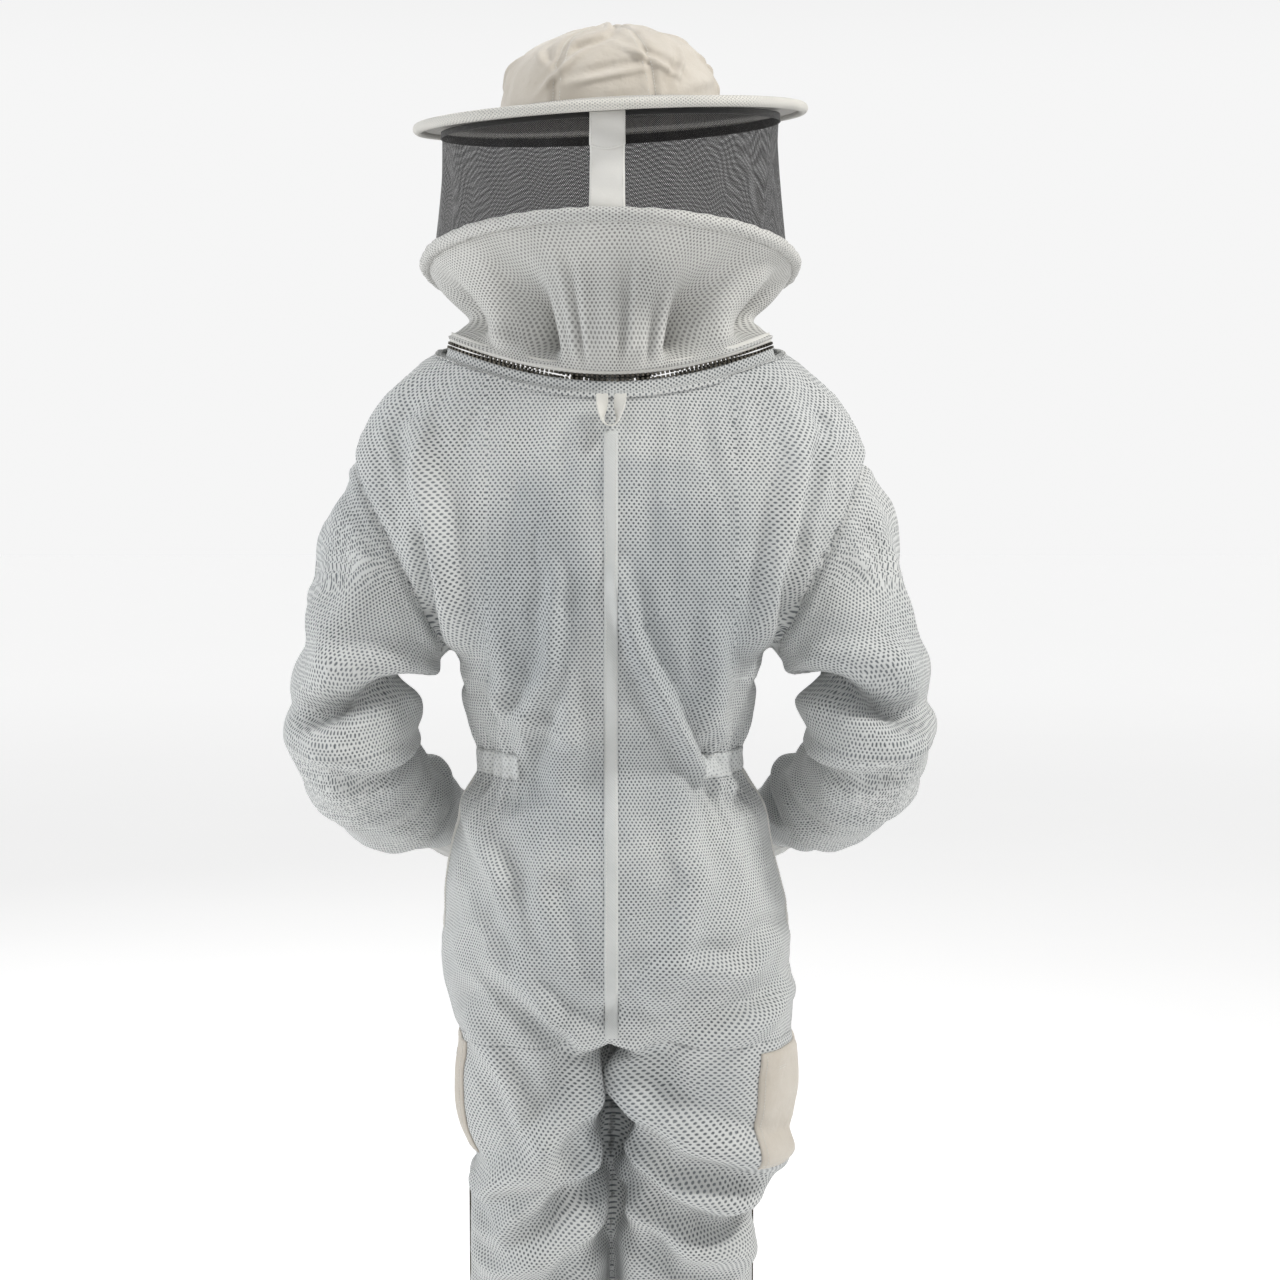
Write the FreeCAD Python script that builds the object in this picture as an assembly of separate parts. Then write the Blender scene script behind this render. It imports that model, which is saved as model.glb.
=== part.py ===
"""A ventilated beekeeping suit: a three-layer mesh coverall, and a hat with a round veil that zips to it.

The suit stands as it hangs on a wearer with both hands on the hips. Units are millimetres.
The origin is the middle of the neck opening, level with the neck zip at the back and at the throat.
+Z is up and the wearer faces -Y, so +X is the wearer's left.
"""

import FreeCAD, Part
import math
import os

V = FreeCAD.Vector
os.makedirs("parts", exist_ok=True)

# ---------------------------------------------------------------- driving dimensions
CLOTH = 4.0              # the three-layer mesh, as sewn
COTTON = 1.6             # hat cotton, pockets and tapes
GAP = 0.3                # clearance between pieces that move past each other

# Body outline: height, half width, front depth, back depth. The front line stays straight for the zip.
FRONT = 128.0
TORSO = [
    (50, 135, 40, 78), (36, 168, 72, 100), (25, 187, 100, 110), (12, 206, 121, 112),
    (-10, 236, FRONT, 114), (-45, 256, FRONT, 124), (-80, 264, FRONT, 132), (-150, 246, FRONT, 140),
    (-210, 214, FRONT, 139), (-268, 173, FRONT, 133), (-320, 162, FRONT, 123), (-380, 149, FRONT, 112),
    (-450, 164, FRONT, 128), (-530, 172, FRONT, 144), (-600, 176, FRONT, 142), (-664, 174, 118, 124),
]
# Leg outline: height, centre, half width, front depth, back depth. The outer line stays straight for the zip.
LEG_SIDE = 150.0
LEG = [
    (-664, 89, 82, 110, 118), (-745, 88, 84, 102, 108), (-835, 77, 74, 90, 95),
    (-900, 77, 73, 83, 86), (-980, 79, 71, 80, 78), (-1100, 84, 66, 72, 79), (-1250, 92, 58, 62, 66),
    (-1345, 98, 52, 52, 52),
]
TORSO_POWER = 2.2
LEG_POWER = 2.3

# Sleeve: centre, direction, half size across the slant, half size front to back.
SLEEVE = [
    ((150, 0, -125), (0.85, 0.0, -0.53), 78, 56),
    ((217, 0, -172), (0.898, 0.0, -0.44), 104, 66),
    ((232, 8, -230), (0.45, 0.08, -0.89), 77, 76),
    ((252, 18, -292), (0.12, 0.05, -0.99), 73, 78),
    ((262, 27, -350), (-0.02, -0.30, -0.95), 72, 74),
    ((255, -4, -402), (-0.30, -0.66, -0.69), 64, 66),
    ((229, -56, -438), (-0.36, -0.80, -0.48), 56, 56),
    ((206, -101, -460), (-0.38, -0.84, -0.39), 47, 47),
    ((190.7, -131, -472.7), (-0.38, -0.84, -0.39), 38, 38),
]
SEAM_TOP = V(264, 0, -76)       # armhole seam, at the shoulder
SEAM_LOW = V(171, 0, -268)      # armhole seam, under the arm
WRIST_R = 38.0
WRIST_CUFF = 46.0
ANKLE_R = 50.0
ANKLE_TOP = -1345.0
ANKLE_CUFF = 52.0
RIB = 3.5                       # wall of the ribbed elastic cuffs

# Neck zip: the front half is two arcs that rise to the shoulders, the back half a flatter oval that dips.
NECK_R = 167.0
NECK_Y = 40.0
NECK_TILT = math.radians(12.4)
NECK_BACK = 112.0
NECK_HALF = NECK_R * math.cos(NECK_TILT)
NECK_RISE = NECK_R * math.sin(NECK_TILT)
NECK_START = 2.0                # degrees from the throat to where the zip tape begins

# Every zip: tape, the tooth rows each side of a gap that the slider's post runs in, and the slider.
TAPE = 1.2
TAPE_WIDE = 14.0
TOOTH_NEAR, TOOTH_FAR = 0.8, 3.2
TOOTH_IN, TOOTH_OUT = -1.0, 2.2
BEAD = 2.3                      # where the teeth leave the bead, from the zip's line
PITCH = 4.0
NECK_PITCH = 5.0
PLATE = 1.2
PLATE_IN = TOOTH_IN - GAP
PLATE_OUT = TOOTH_OUT + 0.8     # more room outside, where the upper half lifts out
SLIDER_WIDE = 9.0
SLIDER_LONG = 12.0
NECK_PLATE = 3.6                # half height of the neck sliders' plates
POST = 1.0
PIN_OUT = 6.3
PULL_LONG, PULL_WIDE, PULL_THICK = 26.0, 6.6, 1.4
NECK_PULL = 13.0
ZIP_SLOT = 8.0                  # the cloth stops this far from the middle of a straight zip
TRENCH = 10.0                   # the cloth stops this far outside the neck zip, for its sliders
FLANGE = -14.0                  # the lower tape turns out to the cloth this far below the neck zip

FRONT_ZIP_TOP, FRONT_ZIP_LOW = -30.0, -622.0
LEG_ZIP_TOP, LEG_ZIP_LOW = -838.0, -1394.0
NECK_SLIDER_AT = 13.0           # degrees from the throat, closed

# Trim sewn on the coverall
BAND_HALF, BAND_TOP = 7.0, -58.0
CASING_FROM, CASING_LOW, CASING_TALL = 88.0, -402.0, 24.0
HIP_SLIT_LOW, HIP_SLIT_TOP = -570.0, -404.0
CARGO_LOW, CARGO_TOP = -800.0, -680.0
LOOP_HALF, LOOP_Y, LOOP_DEEP, LOOP_LOW, LOOP_TOP = 16.0, 127.5, 8.6, -57.0, -17.0
FLAP_HALF, FLAP_Y, FLAP_LOW, FLAP_TOP = 24.0, -139.4, -22.0, 18.0

# Hat and veil
HAT_AT = V(0, -5, 268)
HAT_TILT = -4.5                 # degrees about X, the back edge lower
HAT_ROLL = 3.2                  # degrees about Y, the wearer's left edge lower
BRIM_R = 197.5
BRIM_EDGE = 5.5
BRIM_WIRE = 1.0
BRIM_RISE = 14.0
CROWN = [(14, 112, 118), (40, 109, 115), (66, 98, 104), (83, 72, 78)]
CROWN_TOP = 89.5
VEIL_TOP_R = 173.0
VEIL_LOW_R = 182.0
VEIL_NET = 2.0
RING_AT = V(0, 0, 117)
RING_TILT = 10.5                # degrees about X, the back edge higher
RING_R = 189.0
RING_TUBE = 7.0
RING_WIRE = 1.25
STRAP_WIDE = 33.0
STRAP_TURN = -1.0               # degrees from the middle of the back
SKIRT_HALF, SKIRT_FRONT, SKIRT_BACK = 141.0, 118.0, 104.0

BIG = 3000.0


# ---------------------------------------------------------------- helpers
def curve(points):
    """A smooth closed wire through the points."""
    line = Part.BSplineCurve()
    line.interpolate(Points=points, PeriodicFlag=True)
    return Part.Wire(line.toShape())


def oval(z, half, front, back, centre=0.0, power=TORSO_POWER, count=24):
    """A closed wire at height z: half is its half width, front its depth towards -Y, back towards +Y."""
    points = []
    for i in range(count):
        a = 2 * math.pi * i / count
        c, s = math.cos(a), math.sin(a)
        x = half * math.copysign(abs(c) ** (2 / power), c)
        y = (back if s > 0 else front) * math.copysign(abs(s) ** (2 / power), s)
        points.append(V(centre + x, y, z))
    return curve(points)


def tilted_ring(centre, direction, across, deep, count=20):
    """A closed oval wire square to direction: across in the X-Z plane and deep along Y."""
    d = V(direction).normalize()
    side = V(0, 1, 0).sub(d * d.y).normalize()
    up = side.cross(d)
    points = []
    for i in range(count):
        a = 2 * math.pi * i / count
        points.append(centre + up * (across * math.cos(a)) + side * (deep * math.sin(a)))
    return curve(points)


def loft(wires):
    """A solid with straight walls from each wire to the next; every wire has the same number of edges."""
    faces = [Part.Face(wires[0]), Part.Face(wires[-1])]
    for a, b in zip(wires, wires[1:]):
        faces += [Part.makeRuledSurface(e, f) for e, f in zip(a.Edges, b.Edges)]
    shell = Part.makeShell(faces)
    shell.sewShape()
    solid = Part.makeSolid(shell)
    if solid.Volume < 0:
        solid.reverse()
    return solid


def block(x0, x1, y0, y1, z0, z1):
    return Part.makeBox(x1 - x0, y1 - y0, z1 - z0, V(x0, y0, z0))


def mirrored(shape):
    return shape.mirror(V(0, 0, 0), V(1, 0, 0))


def polygon(points):
    return Part.makePolygon(points + [points[0]])


def save(name, *shapes):
    """Writes one node from all the solids of these shapes."""
    solids = [s for shape in shapes for s in shape.Solids]
    if not solids:
        raise ValueError(f"{name} has no solid")
    whole = solids[0] if len(solids) == 1 else Part.makeCompound(solids)
    whole.exportStep(f"parts/{name}.step")
    print(f"{name:28s} {len(solids):3d} solids {whole.Volume / 1000:9.2f} cm3")


def save_pair(name, shape):
    save(name + "_left", shape)
    save(name + "_right", mirrored(shape))


# ---------------------------------------------------------------- neck curve
def neck_frame(turn):
    """Point, outward and up on the neck zip; turn is 0 at the throat, 90 at the left shoulder, 180 behind."""
    side = 1.0
    if turn > 180:
        side, turn = -1.0, 360 - turn
    if turn <= 90:
        a = math.radians(turn)
        along = V(math.cos(NECK_TILT), 0, math.sin(NECK_TILT))
        out = along * math.sin(a) + V(0, -math.cos(a), 0)
        point = V(0, NECK_Y, 0) + out * NECK_R
        up = V(-math.sin(NECK_TILT), 0, math.cos(NECK_TILT))
    else:
        a = math.radians(turn - 90)
        deep = NECK_BACK - NECK_Y
        fade = math.cos(a) ** 2
        point = V(NECK_HALF * math.cos(a), NECK_Y + deep * math.sin(a), NECK_RISE * fade)
        up = V(-math.sin(NECK_TILT * fade), 0, math.cos(NECK_TILT * fade))
        out = V(math.cos(a) / NECK_HALF, math.sin(a) / deep, 0).normalize()
        out = out.sub(up * out.dot(up)).normalize()
    if side < 0:
        point, out, up = (V(-v.x, v.y, v.z) for v in (point, out, up))
    return point, out, up


def neck_profile(turn, corners):
    """A closed polygon across the neck zip; each corner is (outward, up)."""
    point, out, up = neck_frame(turn)
    return polygon([point + out * r + up * h for r, h in corners])


def neck_strip(corners, start=NECK_START):
    """A strip of constant section right round the neck zip, open at the throat."""
    face = Part.Face(neck_profile(start, corners))
    axis = V(-math.sin(NECK_TILT), 0, math.cos(NECK_TILT))
    left = face.revolve(V(0, NECK_Y, 0), axis, 90 - start)
    back = loft([neck_profile(90 + 10 * i, corners) for i in range(19)])
    return left.fuse([back, mirrored(left)])


def rectangle(r0, r1, h0, h1):
    return [(r0, h0), (r1, h0), (r1, h1), (r0, h1)]


# ---------------------------------------------------------------- coverall
def torso_body(shrink):
    """The body of the coverall from neck to crotch; shrink is how far inside the outer face."""
    rows = [oval(z, a - shrink, f - shrink, b - shrink) for z, a, f, b in TORSO[:-1]]
    z, a, f, b = TORSO[-1]
    rows.append(oval(z + shrink, a - shrink, f - shrink, b - shrink))
    return loft(rows)


def leg_body(shrink):
    rows = [oval(z, a - shrink, f - shrink, b - shrink, centre=c, power=LEG_POWER) for z, c, a, f, b in LEG]
    if shrink > 0:
        z, c, a, f, b = LEG[0]
        rows.insert(0, oval(z + 20, a - shrink, f - shrink, b - shrink, centre=c, power=LEG_POWER))
        z, c, a, f, b = LEG[-1]
        rows.append(oval(z - 20, a - shrink, f - shrink, b - shrink, centre=c, power=LEG_POWER))
    return loft(rows)


def sleeve_body(shrink):
    rows = [tilted_ring(V(*c), V(*d), a - shrink, b - shrink) for c, d, a, b in SLEEVE]
    if shrink > 0:
        first, last = SLEEVE[0], SLEEVE[-1]
        start = V(*first[0]) - V(*first[1]).normalize() * 15
        end = V(*last[0]) + V(*last[1]).normalize() * 20
        rows.insert(0, tilted_ring(start, V(*first[1]), first[2] - shrink, first[3] - shrink))
        rows.append(tilted_ring(end, V(*last[1]), last[2] - shrink, last[3] - shrink))
    return loft(rows)


def half_space(point, normal, size=600.0):
    """A block on the side of the plane that normal points to."""
    cube = Part.makeBox(size, size, size, V(-size / 2, -size / 2, 0))
    cube.Placement = FreeCAD.Placement(point, FreeCAD.Rotation(V(0, 0, 1), normal))
    return cube


def beyond_armhole():
    """The half of space on the sleeve's side of the left armhole seam."""
    run = SEAM_LOW - SEAM_TOP
    return half_space((SEAM_TOP + SEAM_LOW) * 0.5, V(-run.z, 0, run.x).normalize())


def torso_patch(thick, x0, x1, y0, y1, z0, z1):
    """A layer of cloth lying on the outside of the body, cut to a block."""
    layer = torso_body(-thick).common(block(x0, x1, y0, y1, z0, z1))
    return layer.cut(torso_body(0))


def build_coverall(neck_parts):
    torso_out, torso_in = torso_body(0), torso_body(CLOTH)
    legs_out, legs_in = leg_body(0), leg_body(CLOTH)
    arm_out, arm_in = sleeve_body(0), sleeve_body(CLOTH)
    armhole = beyond_armhole()
    armhole_cut = armhole.common(block(100, 600, -300, 300, SEAM_LOW.z, 100))

    hole = Part.Face(oval(-40, 150, 112, 98)).extrude(V(0, 0, 160))
    trench = neck_strip(rectangle(-32, TRENCH, FLANGE, 60), start=0.0)
    torso = torso_out.cut([armhole_cut, mirrored(armhole_cut)])
    torso = torso.cut([torso_in, arm_in, mirrored(arm_in)])
    z, centre, half, front, back = LEG[0]
    rim = oval(z - 30, half - CLOTH, front - CLOTH, back - CLOTH, centre=centre, power=LEG_POWER)
    leg_hole = Part.Face(rim).extrude(V(0, 0, 60))
    torso = torso.cut([leg_hole, mirrored(leg_hole)])
    torso = torso.cut([hole, trench] + neck_parts)
    zip_gap = block(-ZIP_SLOT, ZIP_SLOT, -FRONT - 10, -FRONT + 14, FRONT_ZIP_LOW, FRONT_ZIP_TOP)
    left = torso.cut(zip_gap).common(block(0, BIG, -BIG, BIG, -BIG, BIG))
    save_pair("front_panel", left.common(block(-1, BIG, -BIG, 0, -BIG, BIG)))
    save_pair("back_panel", left.common(block(-1, BIG, 0, BIG, -BIG, BIG)))

    low = TORSO[-1][0]
    leg_gap = block(LEG_SIDE - 14, LEG_SIDE + 10, -ZIP_SLOT, ZIP_SLOT, -BIG, LEG_ZIP_TOP)
    leg = legs_out.cut([legs_in, leg_gap]).common(block(-10, BIG, -BIG, BIG, -BIG, low))
    save_pair("leg_front", leg.common(block(-10, BIG, -BIG, 0, -BIG, BIG)))
    save_pair("leg_back", leg.common(block(-10, BIG, 0, BIG, -BIG, BIG)))

    sleeve = arm_out.common(armhole).cut([arm_in, torso_in])
    lower_side = half_space(V(*SLEEVE[4][0]), V(*SLEEVE[4][1]))
    save_pair("upper_sleeve", sleeve.cut([lower_side, torso_out]))
    save_pair("forearm_sleeve", sleeve.common(lower_side))


def build_coverall_trim():
    save("centre_back_band", torso_patch(COTTON, -BAND_HALF, BAND_HALF, 0, BIG, -658, BAND_TOP))
    casing = torso_patch(2.4, CASING_FROM, BIG, -BIG, BIG, CASING_LOW, CASING_LOW + CASING_TALL)
    save_pair("waist_elastic_casing", casing)
    save_pair("hip_slit_binding", torso_patch(COTTON, 100, BIG, -11, 11, HIP_SLIT_LOW, HIP_SLIT_TOP))
    save("chest_pocket", torso_patch(COTTON, 45, 165, -BIG, 0, -262, -122))
    layer = leg_body(-2.4).common(block(100, BIG, -78, 52, CARGO_LOW, CARGO_TOP))
    save_pair("cargo_pocket", layer.cut(leg_body(0)))

    centre, way = V(*SLEEVE[-1][0]), V(*SLEEVE[-1][1]).normalize()
    outer = Part.makeCylinder(WRIST_R, WRIST_CUFF, centre, way)
    inner = Part.makeCylinder(WRIST_R - RIB, WRIST_CUFF + 2, centre - way, way)
    save_pair("wrist_cuff", outer.cut(inner))
    foot = V(LEG_SIDE - ANKLE_R, 0, ANKLE_TOP - ANKLE_CUFF)
    outer = Part.makeCylinder(ANKLE_R, ANKLE_CUFF, foot)
    inner = Part.makeCylinder(ANKLE_R - RIB, ANKLE_CUFF + 2, foot - V(0, 0, 1))
    gap = block(LEG_SIDE - 14, LEG_SIDE + 10, -ZIP_SLOT, ZIP_SLOT, -BIG, LEG_ZIP_TOP)
    save_pair("ankle_cuff", outer.cut([inner, gap]))

    fold = block(-LOOP_HALF, LOOP_HALF, LOOP_Y, LOOP_Y + LOOP_DEEP, LOOP_LOW, LOOP_TOP)
    space = block(
        -BIG, BIG, LOOP_Y + COTTON, LOOP_Y + LOOP_DEEP - COTTON, LOOP_LOW + COTTON, LOOP_TOP - COTTON
    )
    save("hanging_loop", fold.cut(space))
    flap = block(-FLAP_HALF, FLAP_HALF, FLAP_Y - 2.0, FLAP_Y, FLAP_LOW, FLAP_TOP)
    save("throat_flap", flap)


# ---------------------------------------------------------------- zips
def comb(z0, z1):
    """One straight row of teeth beside the line x = 0: a bead with a tooth every PITCH."""
    outline = [V(TOOTH_FAR, 0, z0), V(TOOTH_FAR, 0, z1), V(BEAD, 0, z1)]
    count = int((z1 - z0) / PITCH)
    for i in range(count):
        top = z1 - i * PITCH
        outline.append(V(BEAD, 0, top - 1.2))
        outline.append(V(TOOTH_NEAR, 0, top - 1.2))
        outline.append(V(TOOTH_NEAR, 0, top - 3.2))
        outline.append(V(BEAD, 0, top - 3.2))
    outline.append(V(BEAD, 0, z0))
    row = Part.Face(polygon(outline)).extrude(V(0, TOOTH_OUT - TOOTH_IN, 0))
    row.translate(V(0, -TOOTH_OUT, 0))
    return row


def slider_body(along_x):
    """Two plates and a post, centred on the zip line; the zip runs along X or along Z and faces -Y."""
    long, wide = SLIDER_LONG / 2, SLIDER_WIDE / 2
    if along_x:
        wide = NECK_PLATE
        inner = block(-long, long, -PLATE_IN, -PLATE_IN + PLATE, -wide, wide)
        outer = block(-long, long, -PLATE_OUT - PLATE, -PLATE_OUT, -wide, wide)
        post = block(-4, 4, -PLATE_OUT, -PLATE_IN, -POST / 2, POST / 2)
    else:
        inner = block(-wide, wide, -PLATE_IN, -PLATE_IN + PLATE, -long, long)
        outer = block(-wide, wide, -PLATE_OUT - PLATE, -PLATE_OUT, -long, long)
        post = block(-POST / 2, POST / 2, -PLATE_OUT, -PLATE_IN, -4, 4)
    lug = block(2.6, 4.0, -PIN_OUT - 1.7, -PLATE_OUT - PLATE, -1.7, 1.7)
    pin = Part.makeCylinder(0.7, 6.0, V(-3, -PIN_OUT, 0), V(1, 0, 0))
    return inner.fuse([outer, post, lug, mirrored(lug), pin]).removeSplitter()


def pull_tab(length):
    """A pull that hangs down from the slider's pin, with a hole near its end."""
    eye = Part.makeCylinder(1.7, 4.6, V(-2.3, -PIN_OUT, 0), V(1, 0, 0))
    half = PULL_WIDE / 2
    outline = [
        V(-2.3, 0, 0), V(2.3, 0, 0), V(2.3, 0, -4), V(half, 0, -6.5), V(half, 0, 1.5 - length),
        V(half - 1.5, 0, -length), V(1.5 - half, 0, -length), V(-half, 0, 1.5 - length), V(-half, 0, -6.5),
        V(-2.3, 0, -4),
    ]
    tab = Part.Face(polygon(outline)).extrude(V(0, PULL_THICK, 0))
    tab.translate(V(0, -PIN_OUT - PULL_THICK / 2, 0))
    eye_hole = Part.makeCylinder(1.0, 8, V(-4, -PIN_OUT, 0), V(1, 0, 0))
    end_hole = Part.makeCylinder(1.3, 8, V(0, -PIN_OUT - 4, 3.4 - length), V(0, 1, 0))
    return eye.fuse(tab).cut([eye_hole, end_hole]).removeSplitter()


def turned(shape, angle, move):
    """Turns about Z by angle degrees, then moves."""
    copy = shape.copy()
    copy.rotate(V(0, 0, 0), V(0, 0, 1), angle)
    copy.translate(move)
    return copy


def build_straight_zips():
    line = V(0, -FRONT + 1, 0)
    tape = block(TOOTH_FAR, ZIP_SLOT, -TAPE, 0, FRONT_ZIP_LOW, FRONT_ZIP_TOP)
    teeth = comb(FRONT_ZIP_LOW, FRONT_ZIP_TOP)
    save("front_zip_tapes", turned(tape, 0, line), turned(mirrored(tape), 0, line))
    save("front_zip_teeth", turned(teeth, 0, line), turned(mirrored(teeth), 0, line))
    at = line + V(0, 0, FRONT_ZIP_TOP - SLIDER_LONG / 2 - 1)
    save("front_zip_slider", turned(slider_body(False), 0, at))
    save("front_zip_pull", turned(pull_tab(PULL_LONG), 0, at))

    line = V(LEG_SIDE - 1, 0, 0)
    tape = block(TOOTH_FAR, ZIP_SLOT, -TAPE, 0, LEG_ZIP_LOW, LEG_ZIP_TOP)
    tapes = Part.makeCompound([turned(tape, 90, line), turned(mirrored(tape), 90, line)])
    save_pair("leg_zip_tapes", tapes)
    teeth = comb(LEG_ZIP_LOW, LEG_ZIP_TOP)
    rows = Part.makeCompound([turned(teeth, 90, line), turned(mirrored(teeth), 90, line)])
    save_pair("leg_zip_teeth", rows)
    at = line + V(0, 0, LEG_ZIP_LOW + SLIDER_LONG / 2 + 1)
    save_pair("leg_zip_slider", turned(slider_body(False), 90, at))
    save_pair("leg_zip_pull", turned(pull_tab(PULL_LONG), 90, at))


def neck_teeth(low, high):
    """Separate teeth all round the neck zip, one every NECK_PITCH along it."""
    teeth = []
    turn = NECK_START + 0.5
    while turn < 360 - NECK_START - 1.5:
        point, out, up = neck_frame(turn)
        ahead = neck_frame(turn + 0.1)[0]
        step = (ahead - point).Length / 0.1
        along = (ahead - point).normalize()
        face = Part.Face(neck_profile(turn, rectangle(TOOTH_IN, TOOTH_OUT, low, high)))
        teeth.append(face.extrude(along * 2.4))
        turn += NECK_PITCH / step
    return Part.makeCompound(teeth)


def neck_placed(shape):
    point, out, up = neck_frame(NECK_SLIDER_AT)
    along = up.cross(out)
    matrix = FreeCAD.Matrix(
        along.x, -out.x, up.x, point.x,
        along.y, -out.y, up.y, point.y,
        along.z, -out.z, up.z, point.z,
        0, 0, 0, 1,
    )
    copy = shape.copy()
    copy.transformShape(matrix, True)
    return copy


def lower_tape():
    corners = [
        (0, -TOOTH_FAR), (0, FLANGE - TAPE), (TRENCH + 2, FLANGE - TAPE),
        (TRENCH + 2, FLANGE), (TAPE, FLANGE), (TAPE, -TOOTH_FAR),
    ]
    return neck_strip(corners)


def build_neck_zip(lower):
    save("neck_zip_lower_tape", lower)
    save("neck_zip_lower_teeth", neck_teeth(-TOOTH_FAR, -TOOTH_NEAR))
    save("neck_zip_upper_tape", neck_strip(rectangle(0, TAPE, TOOTH_FAR, TAPE_WIDE)))
    save("neck_zip_upper_teeth", neck_teeth(TOOTH_NEAR, TOOTH_FAR))
    save_pair("neck_zip_slider", neck_placed(slider_body(True)))
    save_pair("neck_zip_pull", neck_placed(pull_tab(NECK_PULL)))


# ---------------------------------------------------------------- hat, veil and skirt
def on_hat(shape):
    """Moves a shape built about the hat's own origin, the middle of the brim, to where the hat sits."""
    copy = shape.copy()
    copy.rotate(V(0, 0, 0), V(0, 1, 0), HAT_ROLL)
    copy.rotate(V(0, 0, 0), V(1, 0, 0), HAT_TILT)
    copy.translate(HAT_AT)
    return copy


def on_ring(shape):
    copy = shape.copy()
    copy.rotate(V(0, 0, 0), V(1, 0, 0), RING_TILT)
    copy.translate(RING_AT)
    return copy


def crown_body(shrink, floor):
    """The hat's crown down to the height floor; shrink is how far inside the outer face."""
    rows = [oval(z, a - shrink, b - shrink, b - shrink, power=2.1) for z, a, b in CROWN]
    z, a, b = CROWN[0]
    rows.insert(0, oval(floor, a - shrink, b - shrink, b - shrink, power=2.1))
    z, a, b = CROWN[-1]
    rows.append(oval(CROWN_TOP - shrink, a * 0.55 - shrink, b * 0.55 - shrink, b * 0.55 - shrink, power=2.1))
    return loft(rows)


def brim_body(drop):
    """Everything under the brim's top face, moved down by drop."""
    z, a, b = CROWN[0]
    rows = [oval(height - drop, BRIM_R, BRIM_R, BRIM_R, power=2.0) for height in (-30, 0)]
    rows.append(oval(BRIM_RISE - drop, a, b, b, power=2.1))
    return loft(rows)


def build_hat():
    crown_out = crown_body(0, BRIM_RISE - 3)
    crown_in = crown_body(2.0, BRIM_RISE - 40)
    edge = Part.makeTorus(BRIM_R, BRIM_EDGE)
    save("hat_crown", on_hat(crown_out.cut(crown_in)))
    brim = brim_body(0).cut([brim_body(3.0), crown_body(0, -60), edge])
    save("hat_brim", on_hat(brim))
    save("brim_edge_binding", on_hat(edge.cut(Part.makeTorus(BRIM_R, BRIM_WIRE + 0.2))))
    save("brim_edge_wire", on_hat(Part.makeTorus(BRIM_R, BRIM_WIRE)))
    band = crown_body(2.3, BRIM_RISE - 3).cut(crown_body(4.1, BRIM_RISE - 40))
    save("sweatband", on_hat(band.common(block(-BIG, BIG, -BIG, BIG, -BIG, BRIM_RISE + 30))))


def many_sided(z, radius, count=48):
    """A closed wire at height z with straight sides, as the net hangs in flat strips between its edges."""
    turns = [2 * math.pi * i / count for i in range(count)]
    return polygon([V(radius * math.cos(a), radius * math.sin(a), z) for a in turns])


def net_body(shrink):
    """The space inside the veil, from the hoop to under the brim; a hollow one runs past both ends."""
    past = 12 if shrink > 0.5 else 0
    top = on_hat(many_sided(past - 6, VEIL_TOP_R - shrink))
    bottom = on_ring(many_sided(RING_TUBE - 3 - past, VEIL_LOW_R - shrink))
    return loft([bottom, top])


def skirt_body(shrink):
    """The funnel from under the hoop in to the neck; a hollow one runs past both ends."""
    radius = RING_R + 1 - shrink
    half, front, back = SKIRT_HALF - shrink, SKIRT_FRONT - shrink, SKIRT_BACK - shrink
    wires = [oval(0, half, front, back), on_ring(oval(-RING_TUBE - 0.1, radius, radius, radius, power=2.0))]
    if shrink > 0:
        wires.insert(0, oval(-10, half, front, back))
        wires.append(on_ring(oval(15, radius, radius, radius, power=2.0)))
    return loft(wires)


def build_veil():
    hoop = on_ring(Part.makeTorus(RING_R, RING_TUBE))
    save("hoop_cover", hoop.cut(on_ring(Part.makeTorus(RING_R, RING_WIRE + 0.2))))
    save("hoop_wire", on_ring(Part.makeTorus(RING_R, RING_WIRE)))

    save("veil_net", net_body(0).cut(net_body(VEIL_NET)))
    top_edge = Part.makeCylinder(VEIL_TOP_R + 1.5, 8, V(0, 0, -5.9))
    top_edge = top_edge.cut(Part.makeCylinder(VEIL_TOP_R - 1.5, 12, V(0, 0, -7)))
    under = brim_body(3.0)
    save("veil_top_binding", on_hat(top_edge.common(under)))

    strap = block(-STRAP_WIDE / 2, STRAP_WIDE / 2, 100, 300, 0, 400)
    strap.rotate(V(0, 0, 0), V(0, 0, 1), STRAP_TURN)
    clear_of_hoop = on_ring(Part.makeTorus(RING_R, RING_TUBE + 0.1))
    strap = net_body(-COTTON - 0.3).cut([net_body(-0.3), clear_of_hoop]).common(strap)
    save("back_strap", max(strap.Solids, key=lambda solid: solid.Volume))

    below = neck_strip(rectangle(-27, 60, -60, TAPE_WIDE), start=0.0)
    skirt = skirt_body(0).cut(skirt_body(CLOTH)).cut(below)
    save("pleated_skirt", max(skirt.Solids, key=lambda solid: solid.Volume))


if __name__ == "__main__":
    lower = lower_tape()
    build_neck_zip(lower)
    build_straight_zips()
    build_hat()
    build_veil()
    build_coverall([lower])
    build_coverall_trim()
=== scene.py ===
"""Looks for a ventilated beekeeping suit: the coverall, the hat, its veil and hoop, and the zips, round the CAD frame.

Metres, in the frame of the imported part: +Z up, the wearer faces -Y, and +X is the wearer's left.
"""

import math

import bmesh
import bpy
import numpy as np
from mathutils import Matrix, Vector
from mathutils.bvhtree import BVHTree


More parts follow.
